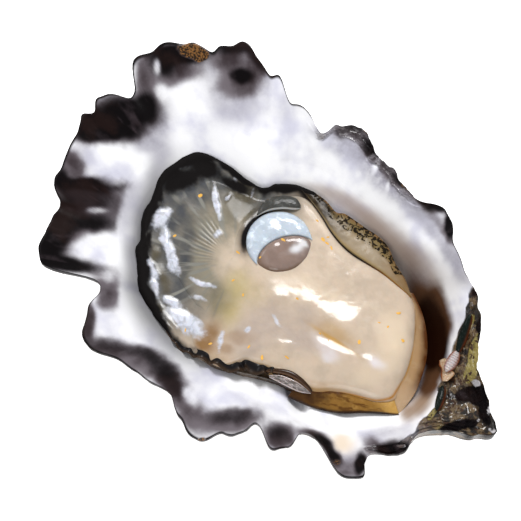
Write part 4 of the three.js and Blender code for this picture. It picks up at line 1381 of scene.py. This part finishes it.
def make_mantle_skirt(finish):
    """The mantle's skirt: a band that rises from under the gills to the wall, with soft folds along it and a
    rolled, uneven edge at the wall; its under side follows the shell, and both ends close to a point."""
    bearing = np.linspace(MANTLE["start"], MANTLE["stop"], MANTLE_ROWS)[:, None]
    across = np.linspace(0, 1, MANTLE_TOP_COLUMNS)[None, :]
    back = np.linspace(1, 0, MANTLE_UNDER_COLUMNS + 2)[None, 1:-1]
    run = (bearing - MANTLE["start"]) / (MANTLE["stop"] - MANTLE["start"])
    ends = (4 * run * (1 - run)) ** 0.35
    hollow = hollow_reach(bearing)
    outer = hollow * mantle_edge(bearing) + 0.5 * crags(in_plan(bearing, hollow), 4, 71) - 0.3
    inner = hollow * MANTLE["inner"]
    reach, back_reach = (between(inner, outer, between(0.5, shares, ends)) for shares in (across, back))
    flat = in_plan(bearing, reach)
    roll = 0.3 * bump(across - 0.9, 0.08) * (1 + 0.6 * crags(flat, 5, 73, 2))
    top = sheet_top(flat[..., 0], flat[..., 1]) + roll
    top = top - 0.6 * ease(0.15, 0, across) - 0.7 * ease(0.94, 1.0, across)
    top = between(np.minimum(inner_height(bearing, reach) + 0.2, top), top, ends)
    low = np.minimum(inner_height(bearing, back_reach) + 0.2, MANTLE["low"])
    rings = np.concatenate([in_plan(bearing, reach, top), in_plan(bearing, back_reach, low)], 1)
    marks = flesh_marks(rings[..., 0], rings[..., 1])
    # Painted shade: dark umber on the skirt from the near side round the hinge end to the far side, where it
    # lies in the gaps under and beside the belly and the strips
    marks["umber"] = ease(262, 285, bearing) + ease(125, 105, bearing)
    return make_skin("mantle_skirt", "mantle", finish, rings, marks)


def make_fold(
    name, node, finish, path, *, half_width, half_depth, seed, rows,
    around=30, tilt=0.0, frill=0.0, waves=0.0, lumps=0.12, ribs=0,
):
    """A soft fold: an oval section carried along a smooth path, tilted about it and narrowed to both ends,
    its right side thrown into waves and its skin lumpy and ribbed."""
    run = np.linspace(0, 1, rows)[:, None]
    centre = smooth_path(path, rows)
    along = np.gradient(centre, axis=0)
    along[:, 2] = 0
    along = along / np.linalg.norm(along, axis=1, keepdims=True)
    side = np.stack([along[:, 1], -along[:, 0], 0 * along[:, 0]], -1)
    up = np.array([0.0, 0.0, 1.0])
    lean = np.radians(tilt)
    width_way = (side * np.cos(lean) + up * np.sin(lean))[:, None]
    depth_way = (up * np.cos(lean) - side * np.sin(lean))[:, None]
    angle = np.linspace(0, 2 * np.pi, around, endpoint=False)[None, :]
    ends = (4 * run * (1 - run)) ** 0.4
    uneven = 1 + 0.22 * crags(centre, 4, seed + 80, 2)[:, None]
    across = half_width * ends * uneven * np.cos(angle)
    depth = half_depth * ends * (np.sin(angle) + 0.15 * np.sin(2 * np.pi * ribs * run))
    outward = ((1 + np.cos(angle)) / 2) ** 1.5
    drift = 1.3 * crags(centre, 6, seed + 90, 2)[:, None]
    wave = frill * ends * outward * np.sin(2 * np.pi * (waves * run + drift))
    rings = centre[:, None] + width_way * across[..., None] + depth_way * (depth + wave)[..., None]
    rings = rings + depth_way * (lumps * crags(rings, 1.8, seed + 95, 2))[..., None]
    marks = {
        "tip": ease(0.6, 0.95, run),
        "edge": ease(0.35, 1.0, np.cos(angle)),
        "root": ease(0.2, 1.0, -np.cos(angle)),
    }
    return make_skin(name, node, finish, rings, marks)


def make_leaf(name, node, finish, edges, *, rise, thickness, seed, rows, lumps=0.1):
    """A thin leaf of flesh between two smooth paths: rows run straight from the left path to the right one,
    arched by a blunt sine and a little lumpy, and return underneath at the given depth."""
    run = np.linspace(0, 1, rows)[:, None]
    across = np.linspace(0, 1, LEAF_COLUMNS)[None, :]
    left, right = (smooth_path(edge, rows)[:, None] for edge in edges)
    top = between(left, right, across[..., None])
    under = top[:, ::-1].copy()
    arch = rise * np.sin(np.pi * across) ** 0.6 * (4 * run * (1 - run)) ** 0.3
    top[..., 2] += arch + lumps * crags(top, 1.8, seed + 95) * np.sin(np.pi * across) ** 0.3
    under[..., 2] -= thickness * np.sin(np.pi * across) ** 0.4
    rings = np.concatenate([top, under[:, 1:-1]], 1)
    across = np.concatenate([across, across[:, -2:0:-1]], 1) + 0 * run
    ragged_across = across + 0.2 * crags(rings, 2.2, seed + 60)
    ragged_end = run + 0.1 * crags(rings, 2.2, seed + 61)
    ragged_start = run + 0.15 * crags(rings, 2.2, seed + 62)
    marks = {
        "left_edge": ease(0.16, 0.04, across),
        "right_edge": ease(0.84, 0.96, across),
        "outer_half": ease(0.42, 0.6, ragged_across) * ease(0.92, 0.78, ragged_end),
        "fade": ease(0.35, 1.0, across),
        "start": ease(0.5, 0.1, ragged_start),
        "tip": ease(0.66, 0.94, run),
        "veins": ease(0.0, 0.5, crags(level_points(9 * across, 16 * run), 1.0, seed)),
    }
    return make_skin(name, node, finish, rings, marks)


def bean_reach(angle):
    """Reach of the bean's turned oval about its own middle."""
    return oval_reach(angle - BEAN["turn"], BEAN["half_length"], BEAN["half_width"])


def muscle_reach(angle):
    """Reach of the muscle's round outline about the bean's middle."""
    x, y = MUSCLE["x"] - BEAN["x"], MUSCLE["y"] - BEAN["y"]
    return oval_reach(angle, MUSCLE["radius"], MUSCLE["radius"], x, y)


def muscle_top(x, y):
    """Height of the cut muscle: flat, falling off at its round edge, with a slightly lumpy face."""
    share = np.hypot(x - MUSCLE["x"], y - MUSCLE["y"]) / MUSCLE["radius"]
    return MUSCLE["top"] - MUSCLE["crown"] * share ** 4 + 0.18 * crags(level_points(x, y), 3, 101)


def make_quick_muscle(finish):
    """The taupe bean: rings from the middle of its top out to the outline, over a round edge and straight
    down to the shell."""
    angle = np.linspace(0, 360, MUSCLE_ANGLES, endpoint=False)[None, :]
    outline = np.minimum(bean_reach(angle), muscle_reach(angle))
    share = np.sin(np.linspace(0.02, 0.5, MUSCLE_TOP_RINGS) * np.pi)[:, None]
    plan = in_plan(angle, outline * share)
    x, y = plan[..., 0] + BEAN["x"], plan[..., 1] + BEAN["y"]
    top = np.stack([x, y, muscle_top(x, y) + 0.2 - 0.5 * share ** 10], -1)
    down = np.linspace(0, 1, MUSCLE_SIDE_RINGS + 1)[1:, None]
    side = np.repeat(top[-1:], MUSCLE_SIDE_RINGS, 0)
    side[..., 2] = between(top[-1:, :, 2], MUSCLE["foot"], down)
    rings = np.concatenate([top, side])
    low_side = ease(0.7, 1.0, share) * ease(-0.3, 0.8, np.cos(np.radians(angle - 300)))
    marks = {
        "edge": np.concatenate([low_side, np.ones_like(side[..., 0])]),
        # Painted highlights on the bean
        "sheen": patches(rings[..., 0], rings[..., 1], BEAN_SHEEN, 1.0),
    }
    return make_skin("muscle_quick", "adductor_quick", finish, rings, marks)


def make_catch_muscle(finish):
    """The bluish white crescent: sections from the bean's outline out to the muscle's, closed by its sides
    and foot, for the angles where it is not pinched out."""
    every = np.linspace(0, 360, 1440)
    free = muscle_reach(every) - bean_reach(every) - MUSCLE_GAP
    wide = every[free > 0.05]
    gap_at = np.argmax(np.diff(np.concatenate([wide, wide[:1] + 360])))
    first, last = wide[(gap_at + 1) % len(wide)], wide[gap_at] + 360 * (gap_at < len(wide) - 1)
    angle = np.linspace(first, last, CRESCENT_ROWS)[:, None]
    across = np.linspace(0, 1, CRESCENT_COLUMNS)[None, :]
    plan = in_plan(angle, between(bean_reach(angle) + MUSCLE_GAP, muscle_reach(angle), across))
    x, y = plan[..., 0] + BEAN["x"], plan[..., 1] + BEAN["y"]
    height = muscle_top(x, y) + 0.25 - 0.3 * (1 - across) ** 8 - 0.6 * across ** 8
    top = np.stack([x, y, height], -1)
    down = np.linspace(0, 1, CRESCENT_SIDE_STEPS + 1)[None, 1:]
    outer_side, inner_side = (np.repeat(edge, CRESCENT_SIDE_STEPS, 1) for edge in (top[:, -1:], top[:, :1]))
    outer_side[..., 2] = between(height[:, -1:], MUSCLE["foot"], down)
    inner_side[..., 2] = between(MUSCLE["foot"], height[:, :1], down)
    rings = np.concatenate([top, outer_side, inner_side[:, :-1]], 1)
    return make_skin("muscle_catch", "adductor_catch", finish, rings)


def landing_height(surfaces, x, y):
    """Height where a drop straight down onto the pieces first lands."""
    start = (Vector((x, y, DROP_FROM)) + Vector(HOLLOW)) * MM
    landings = [piece.ray_cast(start, Vector((0, 0, -1))) for piece in surfaces]
    return max(point.z / MM for hit, point, _, _ in landings if hit)


def make_warm_glint_flecks(finish, surfaces):
    """Golden flecks that stand in for small warm glints, as painted highlights: small flat six-sided flakes
    of several sizes, each laid on whichever surface is highest at its place, tilted at random and joined as
    one mesh."""
    rng = np.random.default_rng(7)
    spot = np.array(WARM_GLINT_FLECKS)
    count = len(spot)
    height = np.array([landing_height(surfaces, x, y) for x, y in spot])
    angle = np.linspace(0, 2 * np.pi, 6, endpoint=False)
    size = rng.uniform(0.25, 0.6, (count, 1))
    spin = rng.uniform(0, 2 * np.pi, (count, 1))
    slim = rng.uniform(0.3, 0.7, (count, 1))
    u, v = size * np.cos(angle), size * slim * np.sin(angle)
    x = spot[:, :1] + u * np.cos(spin) - v * np.sin(spin)
    y = spot[:, 1:] + u * np.sin(spin) + v * np.cos(spin)
    z = height[:, None] + 0.03 + 0.1 * np.sin(angle + spin)
    upper, lower = (np.stack([x, y, z + lift], -1) for lift in (0.05, -0.12))
    points = np.concatenate([upper, lower], 1).reshape(-1, 3)
    start = (np.arange(count) * 12)[:, None]
    ring = np.arange(6)
    following = (ring + 1) % 6
    sides = np.stack([start + ring, start + 6 + ring, start + 6 + following, start + following], -1)
    faces = (start + ring).tolist() + (start + 11 - ring).tolist() + sides.reshape(-1, 4).tolist()
    add_piece("warm_glint_flecks", points, faces, finish)


def soft_body(name):
    """The finish that the belly, the gills and the skirt share, so that they pass into each other."""
    return wet_flesh(
        name,
        (0.58, 0.468, 0.362),
        # Of these tints, sheen is painted highlights and groove, crease and umber are painted shade; the
        # crisp pale tint is partly pale tissue and partly painted wet highlights, and the matte black is
        # black mantle and painted shade in the gap beside the muscle
        [
            ("light", (0.72, 0.59, 0.44)),
            ("sheen", (0.74, 0.70, 0.73)),
            ("grey", (0.43, 0.35, 0.30)),
            ("golden", (0.46, 0.37, 0.18)),
            ("veil", (0.25, 0.225, 0.17)),
            ("slate", (0.06, 0.063, 0.07)),
            ("fibres", (0.22, 0.215, 0.19)),
            ("groove_shade", (0.11, 0.105, 0.09)),
            ("olive", (0.07, 0.055, 0.025)),
            ("brown", (0.24, 0.13, 0.05)),
            ("crease_shade", (0.50, 0.30, 0.10)),
            ("tan", (0.40, 0.23, 0.075)),
            ("amber", (0.45, 0.20, 0.03)),
            ("umber", (0.025, 0.012, 0.005)),
        ],
        mottle=(2.4, (0.64, 0.54, 0.42), 0.3),
        crisp=("pale", (0.62, 0.64, 0.72)),
        matte="black",
        calm="calm",
        relief=(2.2, 0.11),
        film=0.13,
    )


def make_mantle_tabs():
    """Frilled black tabs along the near edge of the belly."""
    black = wet_flesh(
        "mantle_black",
        (0.008, 0.007, 0.008),
        [("edge", (0.05, 0.03, 0.018))],
        relief=(1.2, 0.08),
        gloss=0.3,
        depth=0.0,
        coat=0.12,
    )
    make_fold(
        "mantle_black_tabs", "mantle", black, BLACK_TABS, half_width=1.3, half_depth=0.4, seed=4, rows=300,
        tilt=10, frill=0.7, waves=11,
    )


def make_far_strip():
    """The speckled olive strip along the far wall, and the dark thread where it meets the belly."""
    strip = wet_flesh(
        "mantle_strip",
        (0.32, 0.25, 0.165),
        [
            ("outer_half", (0.17, 0.115, 0.04)),
            ("start", (0.025, 0.016, 0.008)),
            ("tip", (0.20, 0.12, 0.05)),
            ("left_edge", (0.30, 0.21, 0.09)),
            ("right_edge", (0.16, 0.09, 0.035)),
        ],
        mottle=(1.6, (0.40, 0.34, 0.25), 0.5),
        specks=(0.8, (0.012, 0.008, 0.004), "outer_half"),
        relief=(1.8, 0.05),
        depth=0.15,
        coat=0.12,
        film=0.15,
    )
    thread = wet_flesh(
        "mantle_thread",
        (0.02, 0.012, 0.006),
        [("tip", (0.30, 0.13, 0.03))],
        depth=0.0,
        coat=0.1,
    )
    make_leaf(
        "mantle_far_strip", "mantle", strip, FAR_STRIP, rise=0.3, thickness=2.2, seed=5, rows=260, lumps=0.08,
    )
    make_fold(
        "mantle_dark_thread", "mantle", thread, DARK_THREAD, half_width=0.17, half_depth=0.22, seed=6,
        rows=220, around=12, lumps=0.03,
    )


def make_hinge_end_strips():
    """The veined tawny strip on the near side and the smooth flap that goes on round the hinge end."""
    tawny = wet_flesh(
        "mantle_tawny",
        (0.25, 0.125, 0.025),
        [
            ("veins", (0.11, 0.045, 0.008)),
            ("start", (0.05, 0.02, 0.005)),
            ("tip", (0.48, 0.28, 0.075)),
            ("left_edge", (0.07, 0.022, 0.006)),
            ("right_edge", (0.02, 0.008, 0.003)),
        ],
        mottle=(1.0, (0.34, 0.19, 0.05), 0.6),
        relief=(0.7, 0.15),
        depth=0.1,
        coat=0.15,
        film=0.15,
    )
    # The fade tint is painted shade: the flap darkens to near black towards its outer edge, by the pocket
    flap = wet_flesh(
        "mantle_flap",
        (0.40, 0.25, 0.125),
        [("fade", (0.085, 0.026, 0.005)), ("left_edge", (0.36, 0.19, 0.06)), ("tip", (0.46, 0.32, 0.20))],
        mottle=(2.0, (0.46, 0.32, 0.19), 0.6),
        relief=(1.6, 0.05),
        coat=0.15,
        film=0.15,
    )
    make_leaf("mantle_tawny_strip", "mantle", tawny, TAWNY_STRIP, rise=0.15, thickness=2.4, seed=7, rows=220)
    make_leaf("mantle_hinge_flap", "mantle", flap, HINGE_FLAP, rise=0.1, thickness=0.9, seed=14, rows=160)


def make_near_leaf():
    """The pink-edged leaf on the near side, with a brown fold along its top."""
    umber = wet_flesh(
        "mantle_umber",
        (0.035, 0.015, 0.006),
        [("edge", (0.12, 0.055, 0.02))],
        relief=(0.8, 0.1),
        depth=0.0,
        coat=0.3,
    )
    pink = wet_flesh(
        "mantle_pink",
        (0.12, 0.10, 0.09),
        [
            ("left_edge", (0.62, 0.50, 0.47)),
            ("right_edge", (0.66, 0.56, 0.54)),
            ("veins", (0.42, 0.36, 0.35)),
        ],
        mottle=(0.9, (0.30, 0.25, 0.24), 0.7),
        relief=(0.8, 0.1),
        gloss=0.15,
    )
    make_fold(
        "mantle_brown_fold", "mantle", umber, BROWN_FOLD, half_width=0.6, half_depth=0.4, seed=15, rows=120,
        lumps=0.06,
    )
    make_leaf("mantle_pink_leaf", "mantle", pink, PINK_LEAF, rise=0.3, thickness=0.8, seed=8, rows=110)


def make_membrane():
    """The glassy grey tab of membrane over the muscle's far side."""
    glassy = wet_flesh(
        "membrane_grey",
        (0.055, 0.055, 0.05),
        [("right_edge", (0.36, 0.36, 0.35))],
        mottle=(1.2, (0.12, 0.12, 0.115), 0.8),
        relief=(1.0, 0.15),
        coat=0.15,
    )
    make_leaf("membrane_tab", "mantle", glassy, MEMBRANE_TAB, rise=0.3, thickness=0.8, seed=9, rows=90)


def make_ligament():
    """The hinge ligament: a dark horny strap torn in two, its pale ribbed middle and a ragged tuft."""
    horn = wet_flesh(
        "ligament_horn",
        (0.003, 0.007, 0.005),
        [("root", (0.10, 0.025, 0.008))],
        relief=(0.6, 0.25),
        gloss=0.25,
        depth=0.0,
        coat=0.12,
    )
    torn = wet_flesh(
        "ligament_torn",
        (0.52, 0.46, 0.46),
        [("edge", (0.20, 0.05, 0.02)), ("root", (0.22, 0.06, 0.02))],
        relief=(0.4, 0.2),
    )
    tuft = wet_flesh(
        "ligament_tuft",
        (0.50, 0.36, 0.24),
        [("left_edge", (0.26, 0.07, 0.015)), ("right_edge", (0.34, 0.16, 0.06))],
        mottle=(0.8, (0.24, 0.10, 0.035), 0.95),
        relief=(0.4, 0.3),
    )
    node = "hinge_ligament"
    make_fold("hinge_strap_far", node, horn, STRAP_FAR, half_width=0.95, half_depth=0.7, seed=10, rows=90)
    make_fold("hinge_strap_near", node, horn, STRAP_NEAR, half_width=0.8, half_depth=0.7, seed=11, rows=80)
    make_fold(
        "hinge_torn_middle", node, torn, TORN_MIDDLE, half_width=1.15, half_depth=0.6, seed=12, rows=120,
        ribs=9,
    )
    make_leaf("hinge_tuft", node, tuft, HINGE_TUFT, rise=0.4, thickness=0.6, seed=13, rows=120, lumps=0.7)


def make_floor():
    """A plain pale floor, level with the seat and far wider than the view."""
    half = 2.0
    mesh = bpy.data.meshes.new("floor")
    corners = [(-half, -half, 0), (half, -half, 0), (half, half, 0), (-half, half, 0)]
    mesh.from_pydata(corners, [], [(0, 1, 2, 3)])
    paint = Finish("floor_pale")
    mesh.materials.append(paint.done(paint.shader({
        "Base Color": (0.9, 0.9, 0.9, 1),
        "Roughness": 0.9,
        "Emission Color": (1, 1, 1, 1),
        "Emission Strength": 0.7,
    })))
    floor = bpy.data.objects.new("floor", mesh)
    bpy.context.scene.collection.objects.link(floor)


def make_light(name, direction, distance, size, power):
    """A soft round light at a distance from the shell, facing it."""
    lamp = bpy.data.lights.new(name, "AREA")
    lamp.shape = "DISK"
    lamp.size = size
    lamp.energy = power
    light = bpy.data.objects.new(name, lamp)
    way = Vector(direction).normalized()
    light.location = Vector((0, 0, 0.015)) + way * distance
    light.rotation_euler = way.to_track_quat("Z", "Y").to_euler()
    bpy.context.scene.collection.objects.link(light)


def make_studio():
    """The floor, a key light from the far side, two fills and an even white surround."""
    make_floor()
    make_light("key", (-0.30, 0.54, 0.79), distance=0.6, size=0.24, power=2.7)
    make_light("fill_front", (0.5, -0.9, 0.9), distance=0.8, size=0.5, power=1.9)
    make_light("fill_left", (-0.9, -0.1, 0.8), distance=0.8, size=0.4, power=1.1)
    world = bpy.data.worlds.new("studio")
    world.use_nodes = True
    background = world.node_tree.nodes["Background"]
    background.inputs["Color"].default_value = (1, 1, 1, 1)
    background.inputs["Strength"].default_value = 0.44
    bpy.context.scene.world = world
    bpy.context.scene.view_settings.view_transform = "Standard"


def make_camera():
    """The photo's view: from above the near side, through a long lens."""
    lens = bpy.data.cameras.new("camera")
    lens.lens = 100
    lens.sensor_width = 36
    camera = bpy.data.objects.new("camera", lens)
    camera.location = CAMERA_PLACE
    camera.rotation_euler = (CAMERA_PLACE - CAMERA_AIM).to_track_quat("Z", "Y").to_euler()
    bpy.context.scene.collection.objects.link(camera)
    bpy.context.scene.camera = camera


shell = make_shell(shell_finish())
belly = make_belly(soft_body("belly_cream"))
gills = make_gills(soft_body("gill_cream_and_slate"))
skirt = make_mantle_skirt(soft_body("mantle_slate_and_black"))
make_mantle_tabs()
make_far_strip()
make_hinge_end_strips()
make_near_leaf()
make_membrane()
# The bean's sheen tint is a painted highlight
quick = make_quick_muscle(wet_flesh(
    "muscle_taupe",
    (0.26, 0.185, 0.155),
    [("edge", (0.14, 0.075, 0.04)), ("sheen", (0.78, 0.78, 0.80))],
    mottle=(2.5, (0.30, 0.235, 0.21), 0.5),
    relief=(2.0, 0.12),
    gloss=0.2,
))
catch = make_catch_muscle(wet_flesh(
    "muscle_blue_white",
    (0.50, 0.57, 0.65),
    mottle=(1.2, (0.72, 0.80, 0.88), 0.9),
    relief=(0.9, 0.1),
    gloss=0.2,
))
make_ligament()

bpy.context.view_layer.update()
# Golden flecks that stand in for small warm glints: painted highlights
warm_glint_finish = wet_flesh("warm_glint_gold", (0.90, 0.50, 0.10), relief=(0.4, 0.05), depth=0.0)
make_warm_glint_flecks(warm_glint_finish, [shell, belly, gills, skirt, quick, catch])

make_studio()
make_camera()
